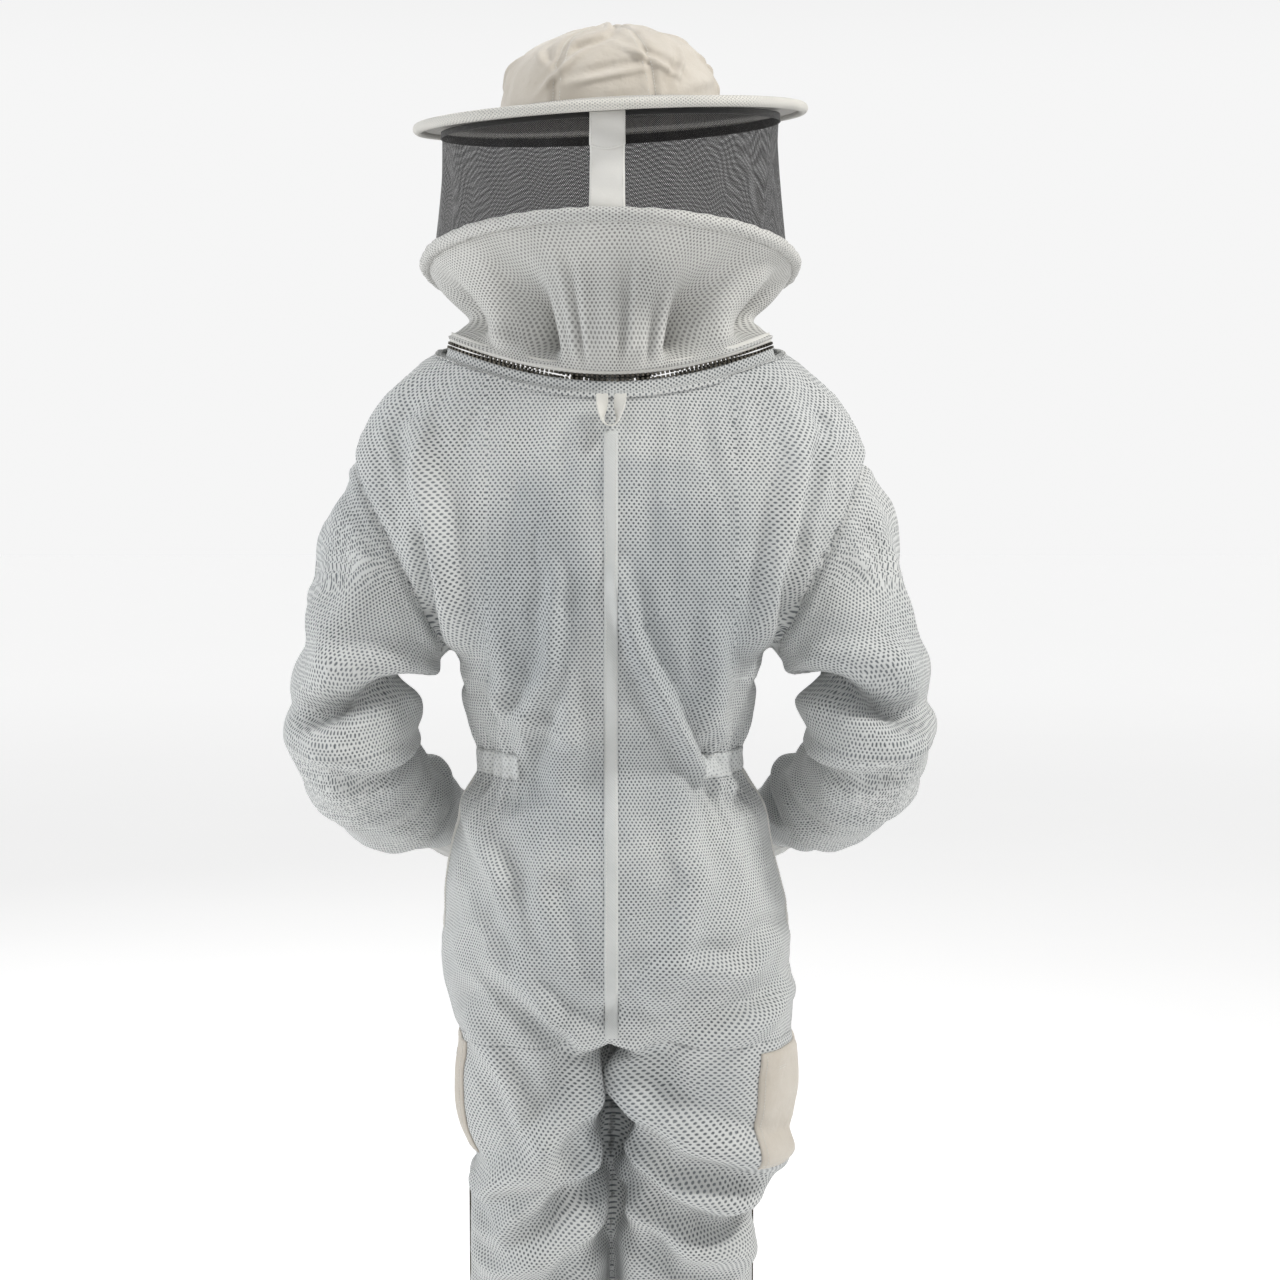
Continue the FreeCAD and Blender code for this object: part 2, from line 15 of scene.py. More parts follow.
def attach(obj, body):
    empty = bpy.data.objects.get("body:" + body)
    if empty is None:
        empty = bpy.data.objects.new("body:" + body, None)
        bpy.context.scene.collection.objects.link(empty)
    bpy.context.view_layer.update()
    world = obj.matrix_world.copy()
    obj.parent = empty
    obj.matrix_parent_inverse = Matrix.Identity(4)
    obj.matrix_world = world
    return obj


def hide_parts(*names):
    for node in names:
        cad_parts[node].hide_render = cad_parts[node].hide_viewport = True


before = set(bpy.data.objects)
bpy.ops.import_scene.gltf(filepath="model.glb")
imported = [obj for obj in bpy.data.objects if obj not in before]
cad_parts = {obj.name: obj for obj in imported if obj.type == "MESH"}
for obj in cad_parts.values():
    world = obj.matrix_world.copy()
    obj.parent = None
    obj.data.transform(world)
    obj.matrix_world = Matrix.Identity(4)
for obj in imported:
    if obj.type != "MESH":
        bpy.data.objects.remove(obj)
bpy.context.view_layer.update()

# ---------------------------------------------------------------- sizes shared with the CAD part
TORSO = [
    (50, 135, 40, 78), (36, 168, 72, 100), (25, 187, 100, 110), (12, 206, 121, 112),
    (-10, 236, 128, 114), (-45, 256, 128, 124), (-80, 264, 128, 132), (-150, 246, 128, 140),
    (-210, 212, 128, 139), (-268, 167, 128, 133), (-320, 152, 128, 123), (-380, 143, 128, 112),
    (-450, 160, 128, 128), (-530, 172, 128, 144), (-600, 176, 128, 142), (-664, 174, 118, 124),
]
LEG = [
    (-620, 89, 80, 106, 120), (-664, 89, 82, 110, 118), (-745, 88, 84, 102, 108), (-835, 77, 74, 90, 95),
    (-900, 77, 73, 83, 86), (-980, 79, 71, 80, 78), (-1100, 84, 66, 72, 79), (-1250, 92, 58, 62, 66),
    (-1345, 98, 52, 52, 52), (-1360, 98, 52, 52, 52),
]
SLEEVE = [
    ((150, 0, -125), (0.85, 0.0, -0.53), 78, 56), ((217, 0, -172), (0.898, 0.0, -0.44), 104, 66),
    ((235, 8, -230), (0.45, 0.08, -0.89), 75, 76), ((259, 18, -292), (0.12, 0.05, -0.99), 66, 76),
    ((269, 27, -350), (-0.02, -0.30, -0.95), 64, 72), ((260, -4, -402), (-0.30, -0.66, -0.69), 58, 64),
    ((229, -56, -438), (-0.36, -0.80, -0.48), 56, 56), ((206, -101, -460), (-0.38, -0.84, -0.39), 47, 47),
    ((190.7, -131, -472.7), (-0.38, -0.84, -0.39), 38, 38), ((185, -143.6, -478.5), (-0.38, -0.84, -0.39), 38, 38),
]
NECK_R, NECK_Y, NECK_BACK = 0.167, 0.040, 0.112
NECK_TILT = math.radians(12.4)
NECK_HALF, NECK_RISE = NECK_R * math.cos(NECK_TILT), NECK_R * math.sin(NECK_TILT)
HAT = (Matrix.Translation((0, -0.005, 0.268)) @ Matrix.Rotation(math.radians(-4.5), 4, "X")
       @ Matrix.Rotation(math.radians(3.2), 4, "Y"))
RING = Matrix.Translation((0, 0, 0.117)) @ Matrix.Rotation(math.radians(10.5), 4, "X")
CROTCH, WAIST, ANKLE = -0.664, -0.390, -1.345
FRONT_ZIP_LOW, LEG_ZIP_TOP = -0.622, -0.838
NECK_EDGE_OUT, NECK_EDGE_DOWN = 0.0110, 0.0150      # the coverall's edge, off the neck line
BRIM_R, HOOP_R = 0.1975, 0.189
VEIL_TOP_R, VEIL_LOW_R = 0.173, 0.182
VOXEL = 0.0075
PICTURE_WIDTH = 1.28                                # metres across the picture at the suit's back
OVAL_POWER = 2.2                                    # how square the torso's ovals are; 2 is an ellipse
SLOT_HALF = 0.0082                                  # half the gap that a straight zip fills
TAPE_EDGES = np.array([0.0033, 0.0050, 0.0070, 0.0086])
CLOTH_THICK, TAPE_THICK = 0.003, 0.0012
FLOOR = -1.4145
SIDES = ((1, "left"), (-1, "right"))


# ---------------------------------------------------------------- mesh helpers
def smooth_rows(rows, count):
    """Resamples a table of rows smoothly, by its row number."""
    rows = np.array(rows, float)
    n = len(rows)
    slope = np.zeros_like(rows)
    slope[1:-1] = (rows[2:] - rows[:-2]) / 2
    slope[0], slope[-1] = rows[1] - rows[0], rows[-1] - rows[-2]
    t = np.linspace(0, n - 1, count)
    i = np.minimum(t.astype(int), n - 2)
    f = (t - i)[:, None]
    a, b, p, q = rows[i], rows[i + 1], slope[i], slope[i + 1]
    return (2 * f**3 - 3 * f**2 + 1) * a + (f**3 - 2 * f**2 + f) * p + (3 * f**2 - 2 * f**3) * b + (f**3 - f**2) * q


def unit(v):
    """Each row of v at length 1."""
    return v / np.linalg.norm(v, axis=-1, keepdims=True)


def add_object(name, verts, faces):
    mesh = bpy.data.meshes.new(name)
    mesh.from_pydata([tuple(v) for v in verts], [], faces)
    mesh.update()
    obj = bpy.data.objects.new(name, mesh)
    bpy.context.scene.collection.objects.link(obj)
    return obj


def shade_smooth(obj):
    obj.data.polygons.foreach_set("use_smooth", np.ones(len(obj.data.polygons), bool))
    return obj


def grid(name, points, closed=False, uv=None, uv_scale=1.0):
    """A sheet from an array of points [row, column, 3]; uv is in metres along the cloth."""
    rows, cols = points.shape[:2]
    wrap = cols if closed else cols - 1
    faces = [
        (r * cols + c, r * cols + (c + 1) % cols, (r + 1) * cols + (c + 1) % cols, (r + 1) * cols + c)
        for r in range(rows - 1) for c in range(wrap)
    ]
    obj = add_object(name, points.reshape(-1, 3), faces)
    if uv is None:
        along = np.linalg.norm(np.diff(points, axis=0), axis=2).mean(axis=1)
        across = np.linalg.norm(np.diff(np.concatenate([points, points[:, :1]], 1), axis=1), axis=2).mean(axis=0)
        v = np.concatenate([[0], np.cumsum(along)])
        u = np.concatenate([[0], np.cumsum(across)])[: cols + 1]
    else:
        u, v = uv
    layer = obj.data.uv_layers.new(name="UVMap")
    data = np.empty((len(faces), 4, 2))
    k = 0
    for r in range(rows - 1):
        for c in range(wrap):
            data[k] = ((u[c], v[r]), (u[c + 1], v[r]), (u[c + 1], v[r + 1]), (u[c], v[r + 1]))
            k += 1
    layer.data.foreach_set("uv", data.reshape(-1) * uv_scale)
    return shade_smooth(obj)


def apply_modifiers(obj):
    deps = bpy.context.evaluated_depsgraph_get()
    mesh = bpy.data.meshes.new_from_object(obj.evaluated_get(deps), depsgraph=deps)
    obj.modifiers.clear()
    obj.data = mesh
    return obj


def solidify(obj, thick, offset=-1.0):
    mod = obj.modifiers.new("thick", "SOLIDIFY")
    mod.thickness = thick
    mod.offset = offset
    return apply_modifiers(obj)


def subdivide(obj, levels=1):
    mod = obj.modifiers.new("fine", "SUBSURF")
    mod.levels = mod.render_levels = levels
    return apply_modifiers(obj)


def vectors(data, key):
    out = np.empty(len(data) * 3)
    data.foreach_get(key, out)
    return out.reshape(-1, 3)


def coords(obj):
    return vectors(obj.data.vertices, "co")


def vertex_normals(obj):
    return vectors(obj.data.vertices, "normal")


def set_coords(obj, points):
    obj.data.vertices.foreach_set("co", np.ascontiguousarray(points, float).reshape(-1))
    obj.data.update()


def bump(t, width):
    """A smooth hump, 1 at t = 0 and 0 beyond width."""
    return np.clip(1 - (t / width) ** 2, 0, 1) ** 2


def step(a, b, t):
    """Rises smoothly from 0 at t = a to 1 at t = b; b may be the smaller one."""
    s = np.clip((t - a) / (b - a), 0, 1)
    return s * s * (3 - 2 * s)


def wobble(points, scale, seed):
    """Smooth noise between -1 and 1 from a few summed waves, the same on every run."""
    r = np.random.default_rng(seed)
    total = np.zeros(len(points))
    for _ in range(7):
        direction = unit(r.normal(size=3))
        freq = 2 * math.pi / scale * r.uniform(0.6, 1.6)
        total += np.sin(points @ direction * freq + r.uniform(0, 6.28))
    return total / 4.2


# ---------------------------------------------------------------- materials
class Nodes:
    """Builds a material's nodes by short calls."""

    def __init__(self, name):
        self.mat = bpy.data.materials.new(name)
        self.mat.use_nodes = True
        self.tree = self.mat.node_tree
        self.tree.nodes.clear()
        self.out = self.tree.nodes.new("ShaderNodeOutputMaterial")

    def add(self, kind, **inputs):
        node = self.tree.nodes.new(kind)
        for key, value in inputs.items():
            if hasattr(node, key):
                setattr(node, key, value)
        return node

    def link(self, a, b):
        self.tree.links.new(a, b)

    def put(self, socket, value):
        if isinstance(value, bpy.types.NodeSocket):
            self.link(value, socket)
        else:
            socket.default_value = value

    def math(self, op, a, b=0.0, c=0.0, clamp=False):
        node = self.add("ShaderNodeMath", operation=op, use_clamp=clamp)
        for i, value in enumerate((a, b, c)):
            self.put(node.inputs[i], value)
        return node.outputs[0]

    def vector_math(self, op, *values):
        node = self.add("ShaderNodeVectorMath", operation=op)
        for i, value in enumerate(values):
            self.put(node.inputs[i], value)
        return node

    def length(self, vector):
        return self.vector_math("LENGTH", vector).outputs["Value"]

    def mix(self, factor, a, b):
        node = self.add("ShaderNodeMix", data_type="RGBA")
        self.put(node.inputs[0], factor)
        self.put(node.inputs[6], a)
        self.put(node.inputs[7], b)
        return node.outputs[2]

    def noise(self, vector, scale, detail=3.0, rough=0.5):
        node = self.add("ShaderNodeTexNoise")
        self.link(vector, node.inputs["Vector"])
        node.inputs["Scale"].default_value = scale
        node.inputs["Detail"].default_value = detail
        node.inputs["Roughness"].default_value = rough
        return node.outputs["Fac"]

    def ramp(self, value, low, high):
        node = self.add("ShaderNodeMapRange", interpolation_type="SMOOTHSTEP")
        self.put(node.inputs[0], value)
        node.inputs[1].default_value = low
        node.inputs[2].default_value = high
        return node.outputs[0]

    def uv(self):
        node = self.add("ShaderNodeUVMap", uv_map="UVMap")
        return node.outputs[0]

    def position(self):
        return self.add("ShaderNodeTexCoord").outputs["Object"]

    def split(self, vector):
        node = self.add("ShaderNodeSeparateXYZ")
        self.link(vector, node.inputs[0])
        return node.outputs[0], node.outputs[1]

    def bump(self, height, distance, strength=1.0, normal=None):
        node = self.add("ShaderNodeBump")
        node.inputs["Strength"].default_value = strength
        node.inputs["Distance"].default_value = distance
        self.link(height, node.inputs["Height"])
        if normal is not None:
            self.link(normal, node.inputs["Normal"])
        return node.outputs[0]

    def shader(self, color, rough, normal=None, metallic=0.0, sheen=0.0, alpha=None):
        node = self.add("ShaderNodeBsdfPrincipled")
        self.put(node.inputs["Base Color"], color)
        self.put(node.inputs["Roughness"], rough)
        node.inputs["Metallic"].default_value = metallic
        node.inputs["Sheen Weight"].default_value = sheen
        node.inputs["Sheen Roughness"].default_value = 0.5
        node.inputs["Specular IOR Level"].default_value = 0.5 if metallic else 0.25
        if normal is not None:
            self.link(normal, node.inputs["Normal"])
        if alpha is not None:
            self.put(node.inputs["Alpha"], alpha)
        self.link(node.outputs[0], self.out.inputs[0])
        return self.mat

    def holes(self, pitch, row, radius, soft):
        """1 inside the staggered holes of a knitted mesh, from the cloth's own lengthwise coordinates."""
        u, v = self.split(self.uv())
        u = self.math("MULTIPLY_ADD", self.noise(self.position(), 7.0, 2.0), 0.010, u)
        v = self.math("MULTIPLY_ADD", self.noise(self.position(), 5.0, 2.0), 0.010, v)
        best = None
        for shift in (0.0, 0.5):
            a = self.math("MULTIPLY_ADD", u, 1 / pitch, shift)
            b = self.math("MULTIPLY_ADD", v, 0.5 / row, shift)
            a = self.math("SUBTRACT", self.math("FRACT", a), 0.5)
            b = self.math("SUBTRACT", self.math("FRACT", b), 0.5)
            a = self.math("MULTIPLY", a, pitch)
            b = self.math("MULTIPLY", b, 2 * row)
            d = self.math("SQRT", self.math("ADD", self.math("MULTIPLY", a, a), self.math("MULTIPLY", b, b)))
            best = d if best is None else self.math("MINIMUM", best, d)
        return self.ramp(best, radius + soft, radius - soft)


def rgb(r, g, b):
    return (r, g, b, 1.0)


def dim(color, *amounts):
    """The colour times one amount, or times one amount for each channel."""
    return rgb(*[c * k for c, k in zip(color, amounts * 3 if len(amounts) == 1 else amounts)])


def make_mesh_cloth(name, light, deep, pitch=0.0044, radius=0.00104, zones=()):
    """Three-layer ventilated mesh: a knitted face with staggered holes over a darker spacer and a second knit.

    Each zone is (centre, size, amount): a patch where the wearer shows through and the cloth looks darker.
    """
    n = Nodes(name)
    pos = n.position()
    hole = n.holes(pitch, pitch * 0.68, radius, 0.00045)
    inner = n.holes(pitch * 1.07, pitch * 0.68 * 1.05, radius, 0.0008)
    soil = n.noise(pos, 9.0, 4.0, 0.6)
    yarn = n.noise(pos, 900.0, 2.0)
    through = n.math("MULTIPLY", n.ramp(n.noise(pos, 6.0, 3.0, 0.6), 0.42, 0.70), 0.35)
    for centre, size, amount in zones:
        away = n.vector_math("DIVIDE", n.vector_math("SUBTRACT", pos, centre).outputs[0], size).outputs[0]
        ragged = n.math("MULTIPLY_ADD", n.noise(pos, 14.0, 4.0, 0.6), 0.7, n.length(away))
        patch = n.math("MULTIPLY", n.ramp(ragged, 1.45, 0.75), amount)
        through = n.math("MAXIMUM", through, patch)
    face = n.mix(n.ramp(soil, 0.35, 0.75), rgb(*light), dim(light, 0.93))
    face = n.mix(n.math("MULTIPLY", yarn, 0.25), face, dim(light, 0.8))
    face = n.mix(n.math("MULTIPLY", through, 0.55), face, dim(light, 0.45, 0.50, 0.55))
    floor_of_hole = n.mix(inner, dim(deep, 1.9), rgb(*deep))
    floor_of_hole = n.mix(n.math("MULTIPLY", through, 0.6), floor_of_hole, dim(deep, 0.5, 0.55, 0.6))
    color = n.mix(n.math("MULTIPLY", hole, 0.95), face, floor_of_hole)
    height = n.math("SUBTRACT", n.math("MULTIPLY", yarn, 0.3), hole)
    normal = n.bump(height, 0.0008, 0.8)
    return n.shader(color, 0.85, normal, sheen=0.15)


def make_cotton(name, color, dark, twill=0.0011, crease=0.5):
    """Woven cotton: a fine diagonal weave, slight stains and small creases."""
    n = Nodes(name)
    pos = n.position()
    u, v = n.split(n.uv())
    diagonal = n.math("SINE", n.math("MULTIPLY", n.math("ADD", u, v), 6.283 / twill))
    crossing = n.math("SINE", n.math("MULTIPLY", n.math("SUBTRACT", u, v), 6.283 / (twill * 0.7)))
    weave = n.math("MULTIPLY_ADD", crossing, 0.4, diagonal)
    stain = n.noise(pos, 14.0, 5.0, 0.6)
    lint = n.noise(pos, 700.0, 2.0)
    tone = n.mix(n.ramp(stain, 0.35, 0.7), rgb(*color), rgb(*dark))
    tone = n.mix(n.math("MULTIPLY", lint, 0.22), tone, dim(color, 0.75))
    tone = n.mix(n.math("MULTIPLY_ADD", weave, 0.05, 0.06), tone, dim(color, 0.7))
    fine = n.bump(weave, 0.00025, 0.35)
    normal = n.bump(n.noise(pos, 70.0, 4.0, 0.55), 0.002, crease, fine)
    return n.shader(tone, 0.88, normal, sheen=0.3)


def make_rib(name, color):
    """Ribbed elastic knit, ribs along the sleeve."""
    n = Nodes(name)
    u, v = n.split(n.uv())
    rib = n.math("SINE", n.math("MULTIPLY", u, 6.283 / 0.0032))
    course = n.math("SINE", n.math("MULTIPLY", v, 6.283 / 0.0012))
    tone = n.mix(n.math("MULTIPLY_ADD", rib, -0.3, 0.35), rgb(*color), dim(color, 0.72))
    normal = n.bump(n.math("MULTIPLY_ADD", course, 0.15, rib), 0.0008, 0.8)
    return n.shader(tone, 0.9, normal, sheen=0.3)


def make_net(name, pitch, thread, strength):
    """Fine black knitted net: see-through holes between threads."""
    n = Nodes(name)
    hole = n.holes(pitch, pitch * 0.6, thread, pitch * 0.12)
    alpha = n.math("SUBTRACT", 1.0, n.math("MULTIPLY", hole, strength))
    lint = n.noise(n.position(), 60.0, 3.0)
    tone = n.mix(lint, rgb(0.008, 0.008, 0.010), rgb(0.030, 0.028, 0.026))
    return n.shader(tone, 0.7, alpha=alpha)


def make_metal(name, color, rough, wear):
    """Metal with dull patches and bright scratches."""
    n = Nodes(name)
    pos = n.position()
    scratch = n.noise(pos, 260.0, 5.0, 0.65)
    patch = n.noise(pos, 45.0, 3.0)
    tone = n.mix(n.ramp(patch, 0.35, 0.7), rgb(*color), dim(color, 0.45))
    tone = n.mix(n.math("MULTIPLY", n.ramp(scratch, 0.55, 0.75), 0.6), tone, rgb(*wear))
    normal = n.bump(scratch, 0.00015, 0.4)
    return n.shader(tone, n.math("MULTIPLY_ADD", scratch, 0.25, rough), normal, metallic=1.0)


def make_thread(name, color):
    n = Nodes(name)
    twist = n.noise(n.position(), 1500.0, 2.0)
    tone = n.mix(twist, rgb(*color), dim(color, 0.6))
    return n.shader(tone, 0.8, sheen=0.2)


BODY_ZONES = (
    ((0.072, 0.125, -0.215), (0.085, 0.20, 0.150), 0.75), ((-0.078, 0.130, -0.225), (0.105, 0.20, 0.160), 0.85),
    ((0.040, 0.125, -0.420), (0.090, 0.20, 0.090), 0.6), ((-0.045, 0.125, -0.390), (0.070, 0.20, 0.080), 0.5),
    ((0.0, 0.130, -0.560), (0.150, 0.20, 0.110), 0.45), ((-0.030, 0.130, -0.100), (0.120, 0.20, 0.030), 0.5),
    ((0.0, 0.12, -0.780), (0.050, 0.20, 0.110), 0.6),
    ((0.070, -0.12, -0.230), (0.090, 0.15, 0.140), 0.8), ((-0.075, -0.12, -0.220), (0.080, 0.15, 0.130), 0.8),
)
LIGHT = (0.625, 0.632, 0.622)
DEEP = (0.085, 0.094, 0.100)
MESH = make_mesh_cloth("mesh_white", LIGHT, DEEP, zones=BODY_ZONES)
SKIRT = make_mesh_cloth("mesh_skirt", (0.62, 0.615, 0.59), (0.15, 0.15, 0.145))
CASING = make_mesh_cloth("mesh_casing", (0.66, 0.67, 0.66), (0.20, 0.21, 0.215), 0.0050, 0.0009)
TAPE = make_cotton("cotton_white", (0.72, 0.71, 0.68), (0.66, 0.65, 0.60), 0.0013, 0.25)
CREAM = make_cotton("cotton_cream", (0.60, 0.555, 0.49), (0.53, 0.48, 0.41), 0.0014, 0.9)
BRIM = make_mesh_cloth("brim_mesh", (0.58, 0.56, 0.52), (0.13, 0.13, 0.13), 0.0040, 0.0010)
BAND = make_cotton("cotton_band", (0.60, 0.61, 0.60), (0.52, 0.54, 0.53), 0.0026, 0.4)
RIB = make_rib("rib_white", (0.70, 0.70, 0.68))
NET = make_net("net_black", 0.0022, 0.00062, 0.80)
BLACK = make_cotton("binding_black", (0.02, 0.02, 0.02), (0.035, 0.033, 0.03), 0.0012, 0.3)
TEETH = make_metal("zip_metal", (0.13, 0.12, 0.10), 0.45, (0.36, 0.33, 0.27))
WIRE = make_metal("wire_steel", (0.55, 0.55, 0.54), 0.3, (0.7, 0.7, 0.7))
THREAD = make_thread("thread_white", (0.78, 0.77, 0.73))


def paint(obj, material):
    obj.data.materials.clear()
    obj.data.materials.append(material)
    return obj


# ---------------------------------------------------------------- coverall skin
def oval_points(half, front, back, centre, z, count, power):
    a = np.linspace(0, 2 * math.pi, count, endpoint=False)
    c, s = np.cos(a), np.sin(a)
    x = half * np.sign(c) * np.abs(c) ** (2 / power)
    y = np.where(s > 0, back, front) * np.sign(s) * np.abs(s) ** (2 / power)
    return np.stack([centre + x, y, np.full(count, z)], 1)


def tube(name, loops):
    """A closed solid skin from loops of points, capped at both ends."""
    count = len(loops[0])
    verts = np.concatenate(loops + [loops[0].mean(0)[None], loops[-1].mean(0)[None]])
    faces = []
    for r in range(len(loops) - 1):
        for c in range(count):
            d = (c + 1) % count
            faces.append((r * count + c, r * count + d, (r + 1) * count + d, (r + 1) * count + c))
    first, last = len(verts) - 2, len(verts) - 1
    base = (len(loops) - 1) * count
    faces += [(first, (c + 1) % count, c) for c in range(count)]
    faces += [(last, base + c, base + (c + 1) % count) for c in range(count)]
    return add_object(name, verts, faces)


def torso_loops():
    rows = smooth_rows(TORSO, 70)
    return [oval_points(a, f, b, 0, z, 96, OVAL_POWER) / 1000 for z, a, f, b in rows]


def leg_loops(side):
    rows = smooth_rows(LEG, 60)
    loops = [oval_points(a, f, b, c, z, 64, 2.3) / 1000 for z, c, a, f, b in rows]
    return [p * (side, 1, 1) for p in loops]


def sleeve_rows(count):
    flat = [(*c, *d, a, b) for c, d, a, b in SLEEVE]
    return smooth_rows(flat, count)


def sleeve_loops(side):
    loops = []
    for row in sleeve_rows(54):
        d = unit(row[3:6])
        y = unit(np.array([0, 1, 0]) - d * d[1])
        up = np.cross(y, d)
        a = np.linspace(0, 2 * math.pi, 64, endpoint=False)[:, None]
        loops.append((row[:3] + up * (row[6] * np.cos(a)) + y * (row[7] * np.sin(a))) / 1000 * (side, 1, 1))
    return loops


def coverall_skin():
    """One closed skin round body, sleeves and legs."""
    parts = [tube("skin", torso_loops())]
    for side in (1, -1):
        parts.append(tube("leg", leg_loops(side)))
        parts.append(tube("sleeve", sleeve_loops(side)))
    verts, faces, base = [], [], 0
    for part in parts:
        verts.append(coords(part))
        faces += [tuple(i + base for i in p.vertices) for p in part.data.polygons]
        base += len(part.data.vertices)
        bpy.data.objects.remove(part)
    skin = add_object("skin", np.concatenate(verts), faces)
    bm = bmesh.new()
    bm.from_mesh(skin.data)
    bmesh.ops.recalc_face_normals(bm, faces=bm.faces)
    bm.to_mesh(skin.data)
    bm.free()
    mod = skin.modifiers.new("join", "REMESH")
    mod.mode = "VOXEL"
    mod.voxel_size = VOXEL
    apply_modifiers(skin)
    mod = skin.modifiers.new("soft", "SMOOTH")
    mod.iterations = 4
    mod.factor = 0.5
    return apply_modifiers(skin)


# ---------------------------------------------------------------- neck line
def neck_frame(turn):
    side = 1.0
    if turn > 180:
        side, turn = -1.0, 360 - turn
    if turn <= 90:
        a = math.radians(turn)
        out = np.array([math.cos(NECK_TILT) * math.sin(a), -math.cos(a), math.sin(NECK_TILT) * math.sin(a)])
        point = np.array([0, NECK_Y, 0]) + out * NECK_R
        up = np.array([-math.sin(NECK_TILT), 0, math.cos(NECK_TILT)])
    else:
        a = math.radians(turn - 90)
        deep = NECK_BACK - NECK_Y
        fade = math.cos(a) ** 2
        point = np.array([NECK_HALF * math.cos(a), NECK_Y + deep * math.sin(a), NECK_RISE * fade])
        up = np.array([-math.sin(NECK_TILT * fade), 0, math.cos(NECK_TILT * fade)])
        out = unit(np.array([math.cos(a) / NECK_HALF, math.sin(a) / deep, 0]))
        out = unit(out - up * out.dot(up))
    if side < 0:
        flip = np.array([-1, 1, 1])
        point, out, up = point * flip, out * flip, up * flip
    return point, out, up


NECK = [neck_frame(t) for t in np.arange(0, 360, 1.0)]
NECK_P = np.array([n[0] for n in NECK])
NECK_O = np.array([n[1] for n in NECK])
NECK_U = np.array([n[2] for n in NECK])


def neck_coords(points):
    """(outward, up) of each point from the nearest place on the neck line."""
    flat = points[:, None, :2] - NECK_P[None, :, :2]
    near = np.argmin((flat**2).sum(2), axis=1)
    d = points - NECK_P[near]
    return (d * NECK_O[near]).sum(1), (d * NECK_U[near]).sum(1)


def split_along(bm, f, layer=None):
    """Splits edges and faces where f changes sign, carrying a vector layer along; returns f by vertex."""
    value = {v: float(f[i]) for i, v in enumerate(bm.verts)}
    for e in [e for e in bm.edges if value[e.verts[0]] * value[e.verts[1]] < 0]:
        a, b = e.verts
        t = value[a] / (value[a] - value[b])
        at = None if layer is None else a[layer].lerp(b[layer], t)
        _, v = bmesh.utils.edge_split(e, a, t)
        if layer is not None:
            v[layer] = at
        value[v] = 0.0
    for face in list(bm.faces):
        signs = {(value[v] > 0) - (value[v] < 0) for v in face.verts}
        if 1 in signs and -1 in signs:
            zero = [v for v in face.verts if value[v] == 0.0]
            if len(zero) >= 2:
                try:
                    bmesh.utils.face_split(face, zero[0], zero[1])
                except ValueError:
                    pass
    return value


def cut_away(obj, field):
    """Removes the part of the mesh where field is negative, along a clean edge."""
    bm = bmesh.new()
    bm.from_mesh(obj.data)
    bm.verts.ensure_lookup_table()
    pts = np.array([v.co for v in bm.verts])
    f = field(pts)
    f = np.where(np.abs(f) < 2e-4, 0.0, f)
    value = split_along(bm, f)
    gone = [face for face in bm.faces if sum(value[v] for v in face.verts) < 0]
    bmesh.ops.delete(bm, geom=gone, context="FACES")
    loose = [v for v in bm.verts if not v.link_faces]
    bmesh.ops.delete(bm, geom=loose, context="VERTS")
    bm.to_mesh(obj.data)
    bm.free()
    obj.data.update()


SEAM_TOP, SEAM_LOW = np.array([0.264, 0, -0.076]), np.array([0.171, 0, -0.268])
SEAM_RUN = SEAM_LOW - SEAM_TOP
SEAM_N = unit(np.array([-SEAM_RUN[2], 0, SEAM_RUN[0]]))
ELBOW, ELBOW_N = np.array([0.269, 0.027, -0.350]), np.array([-0.02, -0.30, -0.95])
WRIST, WRIST_N = np.array([0.1907, -0.131, -0.4727]), np.array([-0.38, -0.84, -0.39]) / 1.0012


def mirrored(points):
    return np.abs(points[:, 0]), points[:, 1], points[:, 2]


def side_points(points):
    return np.stack(mirrored(points), 1)


def beyond_seam(points):
    """Signed distance past the armhole seam, on either side."""
    return (side_points(points) - (SEAM_TOP + SEAM_LOW) / 2) @ SEAM_N


def in_sleeve(points):
    """True past the armhole seam: all of it above the armpit, and what lies off the body's oval below."""
    p = side_points(points)
    below_neck = p[:, 2] < 0.02
    rows = np.array(TORSO, float)[::-1]
    z = p[:, 2] * 1000
    half, front, back = (np.interp(z, rows[:, 0], rows[:, k]) / 1000 for k in (1, 2, 3))
    depth = np.where(p[:, 1] > 0, back, front)
    off_body = (np.abs(p[:, 0]) / half) ** OVAL_POWER + (np.abs(p[:, 1]) / depth) ** OVAL_POWER > 1.14
    arm = (p[:, 2] > -0.545) & (p[:, 0] > 0.10) & off_body
    return (beyond_seam(points) > 0) & below_neck & ((p[:, 2] > SEAM_LOW[2]) | arm)


def cut_openings(skin):
    def neck(points):
        r, h = neck_coords(points)
        near = points[:, 2] > -0.06
        inside = np.minimum(h + NECK_EDGE_DOWN, NECK_EDGE_OUT - r)
        return np.where(near, -inside, 1.0)

    def front_slot(points):
        x, y, z = points.T
        inside = np.minimum(np.minimum(SLOT_HALF - np.abs(x), -y - 0.08), z - FRONT_ZIP_LOW)
        return np.where(z < 0.02, -inside, 1.0)

    def leg_slots(points):
        x, y, z = mirrored(points)
        inside = np.minimum(np.minimum(SLOT_HALF - np.abs(y), x - 0.125), LEG_ZIP_TOP - z)
        return -inside

    def ankles(points):
        return points[:, 2] - ANKLE

    def wrists(points):
        p = side_points(points)
        past = (p - WRIST) @ WRIST_N
        near = np.linalg.norm(p - WRIST, axis=1) < 0.07
        return np.where(near, -past, 1.0)

    for field in (neck, front_slot, leg_slots, ankles, wrists):
        cut_away(skin, field)


